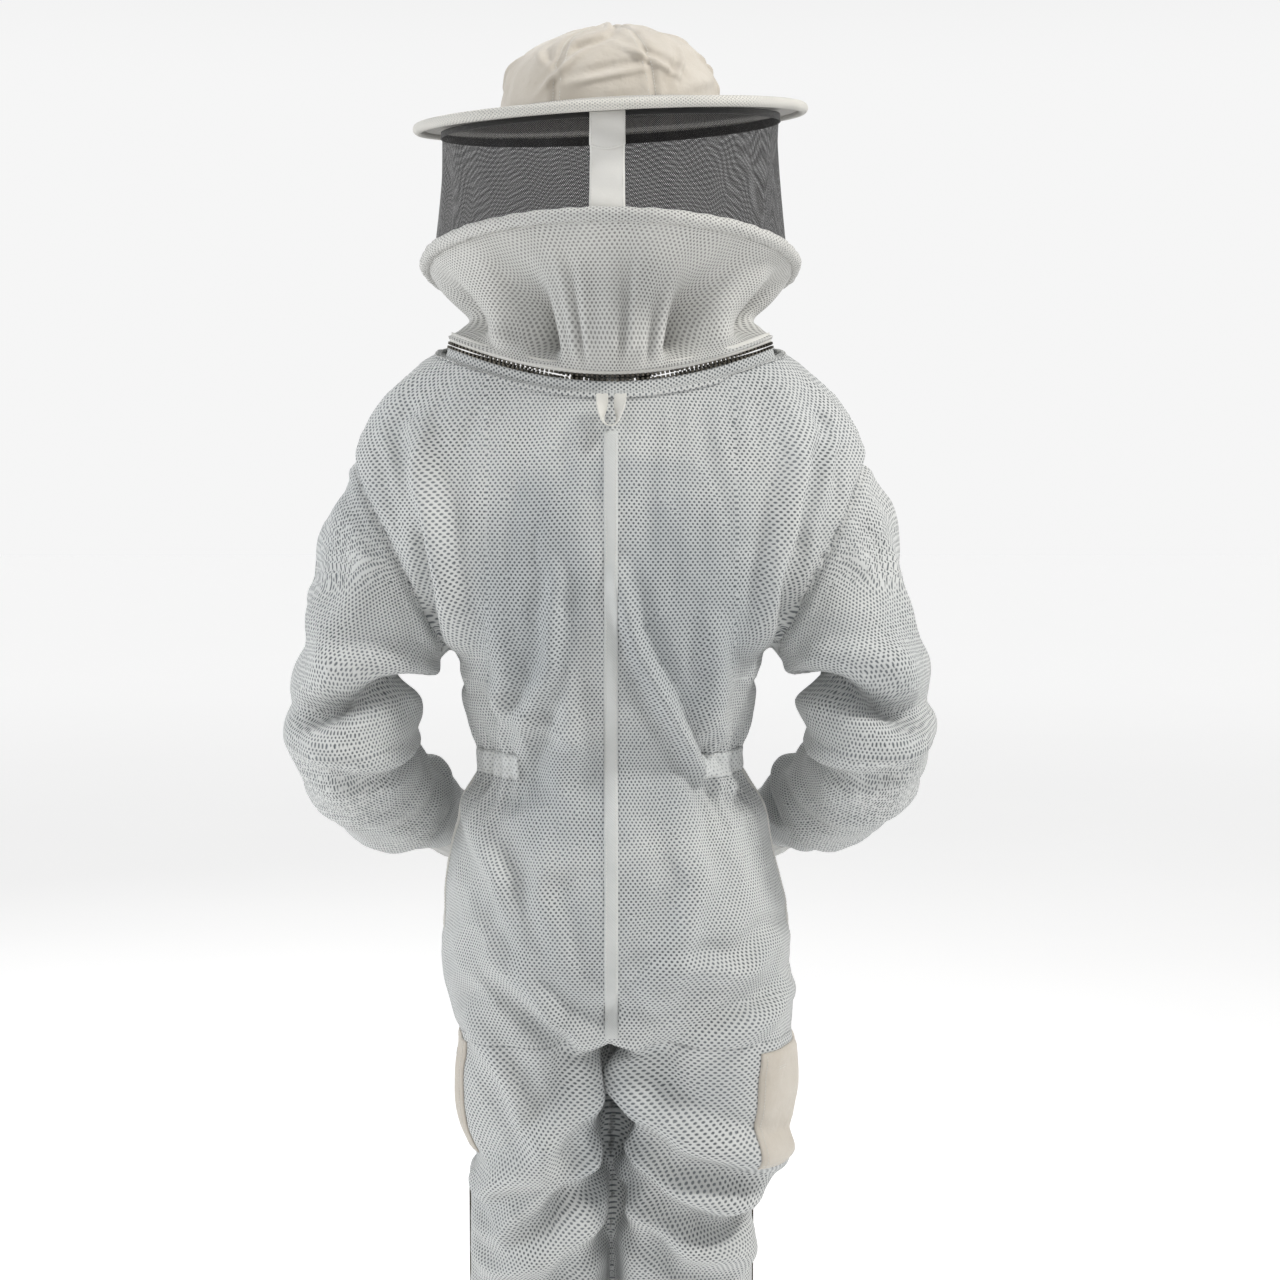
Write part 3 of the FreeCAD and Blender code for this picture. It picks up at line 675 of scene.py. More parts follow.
# ---------------------------------------------------------------- folds of the worn coverall
# Each fold: side of the body (+1 back, -1 front, 0 both), a line in X-Z, half width and height of the ridge, and
# the side of the line that sinks beneath the ridge (+1 right of its run as seen from the front, -1 left, 0 both).
FOLDS = [
    (1, [(0.055, -0.19), (0.058, -0.25), (0.068, -0.29), (0.084, -0.35), (0.095, -0.40)], 0.014, 0.014, 0),
    (1, [(-0.008, -0.19), (-0.028, -0.265), (-0.052, -0.31), (-0.092, -0.385), (-0.125, -0.405)], 0.014, 0.016, 0),
    (1, [(0.052, -0.24), (0.040, -0.36), (0.052, -0.47)], 0.024, 0.010, 0),
    (1, [(-0.100, -0.24), (-0.105, -0.33), (-0.125, -0.40)], 0.018, 0.009, 0),
    (1, [(0.112, -0.24), (0.104, -0.33), (0.112, -0.40)], 0.016, 0.009, 0),
    (1, [(0.196, -0.046), (0.188, -0.090), (0.168, -0.165), (0.156, -0.255)], 0.017, 0.020, -1),
    (1, [(-0.196, -0.050), (-0.186, -0.095), (-0.166, -0.170), (-0.154, -0.255)], 0.017, 0.018, 1),
    (1, [(0.222, -0.050), (0.208, -0.105), (0.196, -0.140)], 0.012, 0.007, -1),
    (1, [(-0.224, -0.055), (-0.210, -0.110), (-0.196, -0.145)], 0.012, 0.007, 1),
    (1, [(0.135, -0.29), (0.095, -0.335), (0.035, -0.35)], 0.012, 0.006, 0),
    (1, [(0.145, -0.43), (0.110, -0.50), (0.060, -0.62)], 0.020, 0.010, 0),
    (1, [(0.075, -0.42), (0.070, -0.52), (0.040, -0.60)], 0.020, 0.009, 0),
    (1, [(-0.070, -0.42), (-0.085, -0.50), (-0.045, -0.60)], 0.024, 0.010, 0),
    (1, [(-0.165, -0.565), (-0.110, -0.585), (-0.060, -0.575)], 0.014, 0.009, -1),
    (1, [(-0.165, -0.620), (-0.125, -0.638), (-0.080, -0.660)], 0.016, 0.011, -1),
    (1, [(-0.012, -0.650), (-0.022, -0.715), (-0.070, -0.765), (-0.150, -0.795)], 0.024, 0.024, -1),
    (1, [(-0.020, -0.760), (-0.060, -0.815), (-0.115, -0.838), (-0.150, -0.825)], 0.022, 0.022, -1),
    (1, [(-0.035, -0.845), (-0.080, -0.885), (-0.140, -0.905)], 0.022, 0.018, -1),
    (1, [(0.014, -0.650), (0.040, -0.730), (0.085, -0.790), (0.140, -0.830)], 0.024, 0.023, 1),
    (1, [(0.012, -0.735), (0.035, -0.790), (0.075, -0.822), (0.120, -0.868)], 0.022, 0.022, 1),
    (1, [(0.020, -0.850), (0.060, -0.890), (0.120, -0.910)], 0.022, 0.016, 1),
    (1, [(0.120, -0.570), (0.060, -0.630), (0.010, -0.665)], 0.018, 0.010, -1),
    (1, [(0.155, -0.640), (0.120, -0.700), (0.090, -0.760)], 0.020, 0.010, 0),
    (1, [(0.024, -0.690), (0.020, -0.800), (0.024, -0.980)], 0.026, 0.013, 0),
    (1, [(-0.024, -0.690), (-0.020, -0.800), (-0.024, -0.980)], 0.026, 0.013, 0),
    (-1, [(0.08, -0.22), (0.075, -0.34), (0.08, -0.44)], 0.020, 0.012, 0),
    (-1, [(-0.085, -0.22), (-0.07, -0.33), (-0.085, -0.45)], 0.020, 0.012, 0),
    (-1, [(0.17, -0.09), (0.14, -0.17), (0.12, -0.28)], 0.018, 0.012, 1),
    (-1, [(-0.17, -0.09), (-0.14, -0.17), (-0.12, -0.28)], 0.018, 0.012, -1),
    (-1, [(0.03, -0.68), (0.08, -0.73), (0.14, -0.78)], 0.022, 0.018, 1),
    (-1, [(-0.03, -0.68), (-0.09, -0.735), (-0.14, -0.77)], 0.022, 0.018, -1),
    (-1, [(0.02, -0.80), (0.08, -0.85), (0.14, -0.84)], 0.022, 0.014, 1),
    (-1, [(-0.02, -0.79), (-0.09, -0.85), (-0.14, -0.85)], 0.022, 0.014, -1),
    (0, [(0.040, -1.00), (0.085, -1.035), (0.13, -1.02)], 0.028, 0.010, 1),
    (0, [(-0.040, -0.98), (-0.09, -1.02), (-0.13, -1.01)], 0.028, 0.010, -1),
    (0, [(0.045, -1.16), (0.09, -1.185), (0.13, -1.165)], 0.026, 0.010, 1),
    (0, [(-0.045, -1.14), (-0.09, -1.17), (-0.13, -1.15)], 0.026, 0.010, -1),
    (0, [(0.06, -1.245), (0.09, -1.26), (0.13, -1.245)], 0.020, 0.008, 0),
    (0, [(-0.06, -1.235), (-0.09, -1.255), (-0.13, -1.245)], 0.016, 0.010, 0),
    (0, [(0.06, -1.30), (0.09, -1.312), (0.13, -1.304)], 0.013, 0.010, 0),
    (0, [(-0.06, -1.295), (-0.09, -1.312), (-0.13, -1.306)], 0.013, 0.010, 0),
]


def line_distance(xz, line):
    """Distance to a bent line, how far along it from 0 to 1, and which side of it each point lies."""
    line = np.array(line, float)
    best = np.full(len(xz), 9.0)
    along = np.zeros(len(xz))
    side = np.zeros(len(xz))
    for i in range(len(line) - 1):
        a, b = line[i], line[i + 1]
        run = b - a
        t = np.clip(((xz - a) @ run) / (run @ run), 0, 1)
        away = xz - a - t[:, None] * run
        d = np.linalg.norm(away, axis=1)
        closer = d < best
        best = np.where(closer, d, best)
        along = np.where(closer, (i + t) / (len(line) - 1), along)
        side = np.where(closer, np.sign(run[1] * away[:, 0] - run[0] * away[:, 1]), side)
    return best, along, side


def held(points):
    """0 where the cloth is sewn to a zip, cuff or casing and can't move, and 1 where it is free."""
    r, h = neck_coords(points)
    x, y, z = mirrored(points)
    off_edge = np.hypot(np.maximum(r - NECK_EDGE_OUT, 0), np.maximum(-h - NECK_EDGE_DOWN, 0))
    neck = np.where(z > -0.08, step(0.0, 0.030, off_edge), 1.0)
    front = np.where((y < -0.06) & (z > -0.66), step(0.0, 0.030, x - 0.008), 1.0)
    leg_zip = np.where((x > 0.10) & (z < -0.82), step(0.0, 0.022, np.abs(y) - 0.008), 1.0)
    leg_zip = np.maximum(leg_zip, 1 - step(0.80, 0.84, -z))
    ankle = step(0.0, 0.025, z - ANKLE)
    wrist = step(0.0, 0.03, np.linalg.norm(side_points(points) - WRIST, axis=1) - 0.036)
    return neck * front * leg_zip * ankle * wrist


def fold_cloth(points):
    """How far each point of the skin stands out or in, along its normal."""
    x, y, z = points.T
    sleeve = in_sleeve(points)
    body = ~sleeve
    out = np.zeros(len(points))
    xz = points[:, [0, 2]]
    for side, line, width, height, sunk in FOLDS:
        d, t, hand = line_distance(xz + 0.004 * wobble(points, 0.09, 41)[:, None], line)
        ends = np.sin(np.pi * np.clip(t * 0.80 + 0.10, 0, 1)) ** 0.7
        facing = 1.0 if side == 0 else step(0.0, 0.05, y * side)
        under = 0.40 if sunk == 0 else np.where(hand == sunk, 0.80, 0.12)
        crest = np.where(hand == sunk, bump(d, width * 0.8), bump(d, width * 1.5))
        ridge = (crest if sunk else bump(d, width)) - under * bump(d - width * 1.25, width * 0.85)
        out += np.where(body, ridge * height * ends * facing, 0)
    out += body * 0.0035 * wobble(points * (1, 1, 0.55), 0.13, 3)
    out += body * 0.0016 * wobble(points, 0.055, 4)
    out += body * 0.0007 * wobble(points, 0.028, 5)
    # the thighs' cloth meets just below the crotch
    out += body * 0.009 * bump(z + 0.700, 0.045) * step(0.04, 0.0, np.abs(x))
    # sewn seams draw the cloth in
    side_seam = np.where(np.abs(x) > 0.09, np.abs(y), 1.0)
    out -= body * (0.0022 * bump(side_seam, 0.005) - 0.0012 * bump(side_seam - 0.008, 0.006))
    # gathers at the waist elastic, sides only
    waist = bump(z - WAIST, 0.075) * step(0.06, 0.11, np.abs(x)) * body
    around = np.arctan2(y, x)
    out += waist * 0.0045 * np.sin(around * 46 + 1.3 * np.sin(around * 7))
    out -= body * 0.010 * bump(z - WAIST, 0.045) * step(0.06, 0.11, np.abs(x))
    return out


def sleeve_coords(points):
    """Each point's distance down the sleeve from the shoulder, and its angle round the sleeve."""
    rows = sleeve_rows(120)
    centre = rows[:, :3] / 1000
    p = side_points(points)
    near = np.argmin(((p[:, None, :] - centre[None]) ** 2).sum(2), axis=1)
    length = np.concatenate([[0], np.cumsum(np.linalg.norm(np.diff(centre, axis=0), axis=1))])
    d = p - centre[near]
    axis = unit(rows[near, 3:6])
    along = length[near] + (d * axis).sum(1)
    y = unit(np.array([0, 1, 0]) - axis * axis[:, 1:2])
    up = np.cross(y, axis)
    angle = np.arctan2((d * y).sum(1), (d * up).sum(1))
    return along, angle


def shape_sleeves(points, along, angle):
    """How far the sleeve's cloth stands out or in."""
    side = np.sign(points[:, 0])
    elbow = 0.222
    # a deep fold where the upper sleeve drops over the forearm, shallow on the outer side of the elbow
    s = along - elbow + 0.016 * np.cos(angle)
    inner = 0.10 + 0.90 * step(-0.98, -0.30, np.cos(angle))
    out = inner * (
        0.013 * bump(s + 0.022, 0.028) - 0.040 * bump(s - 0.008, 0.016) + 0.006 * bump(s - 0.040, 0.030))
    s = along - 0.300 - 0.020 * np.cos(angle + 0.7)
    out += inner * (0.008 * bump(s + 0.016, 0.018) - 0.012 * bump(s - 0.004, 0.014))
    s = along - 0.175 - 0.03 * np.sin(angle + side)
    out += 0.004 * bump(s, 0.030) - 0.003 * bump(s - 0.040, 0.03)
    s = along - 0.120 + 0.04 * np.cos(angle - side)
    out += 0.004 * bump(s, 0.030) - 0.003 * bump(s + 0.04, 0.03)
    for k, (place, lean) in enumerate([(0.345, 0.02), (0.385, -0.016), (0.420, 0.012)]):
        s = along - place - lean * np.cos(angle + k)
        out += 0.005 * bump(s, 0.014) - 0.004 * bump(s - 0.02, 0.012)
    out += 0.003 * wobble(points, 0.07, 11) + 0.0022 * wobble(points, 0.12, 12)
    return out


def lean_body(points):
    """The wearer stands with the weight on the right leg: that thigh and hip stand out further."""
    x, y, z = points.T
    right = step(0.45, 0.66, -z) * (1 - step(0.80, 0.86, -z)) * step(0.02, 0.14, -x)
    left = step(0.58, 0.70, -z) * (1 - step(0.80, 0.86, -z)) * step(0.02, 0.14, x)
    moved = points.copy()
    moved[:, 0] += -0.020 * right - 0.016 * left
    return moved


def keep_rest(obj, points):
    data = obj.data.attributes.new("rest", "FLOAT_VECTOR", "POINT")
    data.data.foreach_set("vector", np.ascontiguousarray(points).reshape(-1))


def rest_of(obj):
    return vectors(obj.data.attributes["rest"].data, "vector")


def drape(obj, free, frames=16, most=0.006):
    """Lets the sewn cloth, cut slightly too large, crumple and sink by up to most between the seams that hold it."""
    before = coords(obj)
    weight = np.round(1 - 0.90 * free, 2)
    group = obj.vertex_groups.new(name="hold")
    for level in np.unique(weight):
        group.add(np.nonzero(weight == level)[0].tolist(), float(level), "REPLACE")
    cloth = obj.modifiers.new("cloth", "CLOTH")
    for key, value in {
        "quality": 4, "mass": 0.35, "tension_stiffness": 12.0, "compression_stiffness": 12.0, "shear_stiffness": 4.0,
        "bending_stiffness": 0.4, "air_damping": 2.0, "vertex_group_mass": "hold", "pin_stiffness": 4.0,
        "shrink_min": -0.025,
    }.items():
        setattr(cloth.settings, key, value)
    cloth.settings.effector_weights.gravity = 0.15
    cloth.collision_settings.use_collision = False
    cloth.point_cache.frame_start, cloth.point_cache.frame_end = 1, frames
    for number in range(1, frames + 1):
        bpy.context.scene.frame_set(number)
    draped = obj.evaluated_get(bpy.context.evaluated_depsgraph_get())
    moved = coords(draped) - before
    far = np.linalg.norm(moved, axis=1)
    obj.modifiers.remove(cloth)
    bpy.context.scene.frame_set(1)
    moved *= (np.minimum(far, most) / np.maximum(far, 1e-9) * np.minimum(1, free * 4))[:, None]
    set_coords(obj, before + moved)


def build_skin():
    skin = coverall_skin()
    cut_openings(skin)
    rest = coords(skin)
    keep_rest(skin, rest)
    free = held(rest)
    along, angle = sleeve_coords(rest)
    fade = step(0.0, 0.04, beyond_seam(rest))
    amount = np.where(in_sleeve(rest), shape_sleeves(rest, along, angle) * fade, fold_cloth(rest))
    seam = np.where((rest[:, 2] > -0.31) & (rest[:, 2] < -0.06), np.abs(beyond_seam(rest)), 1.0)
    amount += 0.0022 * bump(seam - 0.009, 0.008) - 0.0034 * bump(seam, 0.006)
    moved = rest + vertex_normals(skin) * (amount * free)[:, None]
    moved = rest + (lean_body(moved) - rest) * free[:, None]
    set_coords(skin, moved)
    drape(skin, free)
    return skin


# ---------------------------------------------------------------- panels
OVAL_A = np.linspace(-math.pi, math.pi, 721)


def arc_table():
    x, y = 0.20 * np.cos(OVAL_A), 0.13 * np.sin(OVAL_A)
    d = np.hypot(np.diff(x), np.diff(y))
    return np.concatenate([[0], np.cumsum(d)])


ARC = arc_table()


def cloth_uv(rest, kind):
    """Distances along the cloth, in metres, for the knitted pattern."""
    x, y, z = rest.T
    if kind == "torso":
        return np.interp(np.arctan2(y / 0.13, x / 0.20), OVAL_A, ARC), z
    if kind == "leg":
        cx = np.interp(-z, [0.69, 0.835, 1.1, 1.345], [0.092, 0.077, 0.084, 0.098]) * np.sign(x)
        return np.arctan2(y, np.abs(x) - np.abs(cx)) * 0.085, z
    along, angle = sleeve_coords(rest)
    return angle * 0.085, along


def split_panels(skin):
    """Cuts the skin at its seams and returns the panels by node name."""
    cuts = [
        ("half", lambda p: p[:, 0]),
        ("depth", lambda p: p[:, 1]),
        ("crotch", lambda p: p[:, 2] - CROTCH),
        ("elbow", lambda p: (side_points(p) - ELBOW) @ ELBOW_N),
        ("armhole", beyond_seam),
    ]
    bm = bmesh.new()
    bm.from_mesh(skin.data)
    layer = bm.verts.layers.float_vector["rest"]
    for key, field in cuts:
        rest = np.array([v[layer] for v in bm.verts])
        f = field(rest)
        f = np.where(np.abs(f) < 3e-4, 0.0, f)
        sleeve = in_sleeve(rest)
        if key == "depth":
            f = np.where(sleeve, 1.0, f)
        if key == "elbow":
            f = np.where(sleeve, f, 1.0)
        if key == "armhole":
            use = (np.abs(rest[:, 0]) > 0.12) & (rest[:, 2] > -0.30)
            f = np.where(use, f, 1.0)
        split_along(bm, f, layer)
    bm.verts.ensure_lookup_table()
    bm.verts.index_update()
    rest = np.array([v[layer] for v in bm.verts])
    centres = np.array([np.mean([rest[v.index] for v in f.verts], axis=0) for f in bm.faces])
    sleeve = in_sleeve(centres)
    lower = ((side_points(centres) - ELBOW) @ ELBOW_N > 0) & sleeve
    names = []
    for i, c in enumerate(centres):
        hand = "_left" if c[0] > 0 else "_right"
        if sleeve[i]:
            names.append(("forearm_sleeve" if lower[i] else "upper_sleeve") + hand)
        elif c[2] < CROTCH:
            names.append(("leg_back" if c[1] > 0 else "leg_front") + hand)
        else:
            names.append(("back_panel" if c[1] > 0 else "front_panel") + hand)
    panels = {}
    points = np.array([v.co for v in bm.verts])
    quads = [[v.index for v in f.verts] for f in bm.faces]
    bm.free()
    for name in sorted(set(names)):
        chosen = [q for q, n in zip(quads, names) if n == name]
        used = sorted({i for q in chosen for i in q})
        index = {old: new for new, old in enumerate(used)}
        obj = add_object("cloth_" + name, points[used], [[index[i] for i in q] for q in chosen])
        keep_rest(obj, rest[used])
        panels[name] = obj
    bpy.data.objects.remove(skin)
    return panels


def put_uv(obj, kind):
    u, v = cloth_uv(rest_of(obj), kind)
    layer = obj.data.uv_layers.get("UVMap") or obj.data.uv_layers.new(name="UVMap")
    index = np.empty(len(obj.data.loops), int)
    obj.data.loops.foreach_get("vertex_index", index)
    layer.data.foreach_set("uv", np.stack([u[index], v[index]], 1).reshape(-1))


def panel_kind(name):
    if "sleeve" in name:
        return "sleeve"
    return "leg" if "leg" in name else "torso"


def area_of(obj):
    return sum(p.area for p in obj.data.polygons)


def as_sheet(obj, held_how, rests_on, area):
    """Declares a cloth piece with the flat size of its own cloth; the width has 15 % added for a curved cut."""
    pts = coords(obj)


def dress(obj, material, body, node, thick=0.0, offset=0.0, sheet=None, smooth=False):
    """Thickens and paints a piece and ties it to its body and CAD node; sheet is (how it is held, what holds it)."""
    area = area_of(obj)
    if thick:
        solidify(obj, thick, offset)
    if smooth:
        shade_smooth(obj)
    paint(obj, material)
    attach(obj, body)
    if node:
        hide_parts(node)
    if sheet:
        as_sheet(obj, *sheet, area)


def sewn_to(name):
    """What holds each panel of the coverall up."""
    hand = name.split("_")[-1]
    if "forearm" in name:
        return ["cloth_upper_sleeve_" + hand]
    if "sleeve" in name or "leg" in name:
        return ["cloth_back_panel_" + hand, "cloth_front_panel_" + hand]
    return ["neck_zip_lower_tape"]


def finish_panels(panels):
    for name, obj in panels.items():
        subdivide(obj)
        put_uv(obj, panel_kind(name))
        dress(obj, MESH, "suit", name, CLOTH_THICK, -1.0, ("stretched", sewn_to(name)), smooth=True)


# ---------------------------------------------------------------- hat
def circle(count, start=0.0):
    """Angles all the way round."""
    return np.linspace(start, start + 2 * math.pi, count, endpoint=False)


def place(points, matrix):
    flat = points.reshape(-1, 3)
    m = np.array(matrix)
    return (flat @ m[:3, :3].T + m[:3, 3]).reshape(points.shape)


def torus_points(radius, tube_r, count, ring):
    a, b = circle(count)[:, None], circle(ring)[None]
    far = radius + tube_r * np.cos(b)
    return np.stack([far * np.cos(a), far * np.sin(a), np.broadcast_to(tube_r * np.sin(b), (count, ring))], 2)


def ring_grid(name, points, uv_u, uv_v):
    """A torus grid, closed both ways: the last row repeats the first."""
    closed_points = np.concatenate([points, points[:1]], 0)
    return grid(name, closed_points, closed=True, uv=(uv_u, uv_v))


def oval_rows(rows, count):
    """Points of level ovals round the hat's own axis, from rows of (height, half width, half depth) in mm."""
    a = circle(count)
    return np.array([np.stack([half / 1000 * np.cos(a), deep / 1000 * np.sin(a), np.full(count, z / 1000)], 1)
                     for z, half, deep in rows])


def build_hat():
    # crown: rows from the brim up to the button of the top
    rows = smooth_rows([(11, 112, 118), (24, 110, 116), (38, 106, 112), (52, 99, 105), (64, 89, 95), (75, 75, 81),
                        (83, 56, 62), (88, 34, 38), (89.4, 14, 16), (89.6, 2, 2)], 64)
    pts = oval_rows(rows, 220)
    flat = pts.reshape(-1, 3)
    high = flat[:, 2] * 1000
    angle = np.arctan2(flat[:, 1], flat[:, 0])
    out = np.zeros(len(flat))
    for seam in CROWN_SEAMS:
        d = np.abs(np.angle(np.exp(1j * (angle - seam)))) * np.hypot(flat[:, 0], flat[:, 1])
        out -= 0.0022 * bump(d, 0.0065)
        out += 0.0012 * bump(d - 0.008, 0.007)
    rise = step(12, 30, high)
    out += rise * 0.0030 * wobble(flat * (1, 1, 2.2), 0.085, 21)
    out += rise * 0.0018 * wobble(flat, 0.038, 22)
    # dents and creases of soft cotton on the back
    for angle0, z0, lean, length, depth in CREASES:
        du = np.angle(np.exp(1j * (angle - angle0))) * 0.11
        dv = flat[:, 2] - z0
        along = du * math.cos(lean) + dv * math.sin(lean)
        across = -du * math.sin(lean) + dv * math.cos(lean)
        out += 1.5 * depth * (bump(across, 0.006) - 0.7 * bump(across - 0.008, 0.007)) * bump(along, length * 1.3)
    centre = np.array([0, 0, 0.045])
    flat = flat + unit(flat - centre) * out[:, None]
    crown = grid("crown", place(flat.reshape(pts.shape), HAT), closed=True)
    dress(crown, CREAM, "hood", "hat_crown", 0.0014, -1.0, ("stretched", ["brim"]), smooth=True)
    stitches("crown_stitching", [seam_line(s, o) for s in CROWN_SEAMS for o in (-0.0042, 0.0042)], "hood", on=crown)

    # brim, from the crown out to the bound edge
    a = circle(240)
    t = np.linspace(0, 1, 26)
    pts = np.empty((26, 240, 3))
    for i, f in enumerate(t):
        pts[i, :, 0] = ((1 - f) * 111 + f * 196.5) / 1000 * np.cos(a)
        pts[i, :, 1] = ((1 - f) * 117 + f * 196.5) / 1000 * np.sin(a)
        pts[i, :, 2] = (13.0 * (1 - f) ** 1.15 - 1.2 + 0.9 * np.sin(3 * a + 1) * f * (1 - f) * 4) / 1000
    brim = grid("brim", place(pts, HAT), closed=True)
    dress(brim, BRIM, "hood", "hat_brim", 0.0022, -1.0, ("stretched", ["brim_edge"]), smooth=True)
    stitches("brim_stitching", [hat_circle(r, 0.0) for r in (0.186, 0.168, 0.150, 0.132)], "hood", on=brim)

    pts = place(torus_points(BRIM_R, 0.0054, 320, 16), HAT)
    edge = ring_grid("brim_edge", pts, np.arange(17) * 0.0021, np.arange(321) * 0.00388)
    dress(edge, BRIM_EDGE, "hood", "brim_edge_binding")

    rows = [(z, 106.0 - 0.25 * (z - 9) + extra, 112.0 - 0.25 * (z - 9) + extra)
            for z, extra in ((9, 0), (18, 0.2), (27, 0), (36, -0.6))]
    band = grid("sweatband_cloth", place(oval_rows(rows, 160), HAT), closed=True)
    dress(band, TAPE, "hood", "sweatband", 0.0014, -1.0, ("stretched", ["crown"]))


CROWN_SEAMS = [math.radians(x) for x in (62, 112, 172, 232, 292, 352)]
CREASES = [
    (1.45, 0.070, 0.25, 0.030, -0.003), (1.95, 0.050, -0.5, 0.045, 0.003), (1.15, 0.045, 0.7, 0.040, 0.003),
    (1.6, 0.035, 0.15, 0.050, 0.0025), (2.3, 0.040, 0.9, 0.030, 0.003), (0.8, 0.060, -0.6, 0.030, 0.0025),
    (1.75, 0.085, 0.4, 0.025, -0.002), (-1.2, 0.05, 0.4, 0.04, 0.003), (-2.0, 0.06, -0.6, 0.035, 0.003),
    (0.1, 0.05, 0.5, 0.035, 0.003), (3.0, 0.05, -0.5, 0.035, 0.003),
]


def seam_line(seam, shift):
    rows = smooth_rows([(14, 112, 118), (38, 106, 112), (52, 99, 105), (64, 89, 95), (75, 75, 81), (83, 56, 62),
                        (88, 34, 38)], 60)
    points = []
    for z, half, deep in rows:
        r = 0.5 * (half + deep) / 1000
        a = seam + shift / r
        points.append((half / 1000 * math.cos(a), deep / 1000 * math.sin(a), z / 1000 + 0.0006))
    return place(np.array(points), HAT)


def hat_circle(radius, z):
    a = circle(360)
    return place(np.stack([radius * np.cos(a), radius * np.sin(a), np.full(360, z + 0.012)], 1), HAT)


def stitches(name, lines, body, on=None, pitch=0.0032, length=0.0021, radius=0.00032):
    """Short threads along each line, laid on the cloth beneath when it is given."""
    tree = None
    if on is not None:
        tree = BVHTree.FromObject(on, bpy.context.evaluated_depsgraph_get())
    verts, faces = [], []
    for line in lines:
        line = np.array(line, float)
        d = np.linalg.norm(np.diff(line, axis=0), axis=1)
        s = np.concatenate([[0], np.cumsum(d)])
        for k in range(int(s[-1] / pitch)):
            ends = []
            for t in (k * pitch, k * pitch + length):
                p = Vector([np.interp(t, s, line[:, i]) for i in range(3)])
                if tree is not None:
                    p, normal, _, _ = tree.find_nearest(p)
                    if normal.dot(Vector((p.x, p.y, 0))) < 0 and abs(normal.z) < 0.7:
                        normal = -normal
                ends.append(p)
            a, b = ends
            axis = b - a
            if axis.length < 1e-5 or axis.length > pitch * 2:
                continue
            axis.normalize()
            out = normal if tree is not None else Vector((a.x, a.y, 0)).normalized()
            side = axis.cross(out).normalized()
            out = side.cross(axis).normalized()
            base = len(verts)
            for at, grow in ((a, 0.35), ((a * 0.75 + b * 0.25), 1.0), ((a * 0.25 + b * 0.75), 1.0), (b, 0.35)):
                for j in range(5):
                    w = j * 2 * math.pi / 5
                    round_it = side * math.cos(w) * 1.3 + out * math.sin(w)
                    verts.append(at + round_it * radius * grow + out * radius * 0.4)
            for ring in range(base, base + 15, 5):
                for j in range(5):
                    m = (j + 1) % 5
                    faces.append((ring + j, ring + m, ring + 5 + m, ring + 5 + j))
    obj = add_object(name, verts, faces)
    paint(obj, THREAD)
    shade_smooth(obj)
    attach(obj, body)


BRIM_EDGE = make_mesh_cloth("brim_edge_mesh", (0.68, 0.66, 0.61), (0.26, 0.26, 0.25), 0.0034, 0.0008)


# ---------------------------------------------------------------- veil, hoop and skirt
def veil_point(a, t, outward=0.0):
    """A point on the net: angle a, t from 0 at the hoop to 1 at the brim."""
    def rim(radius, z, matrix):
        far = radius + outward
        return place(np.array([[far * math.cos(a), far * math.sin(a), z]]), matrix)[0]

    return rim(VEIL_LOW_R, 0.0035, RING) * (1 - t) + rim(VEIL_TOP_R, -0.0035, HAT) * t


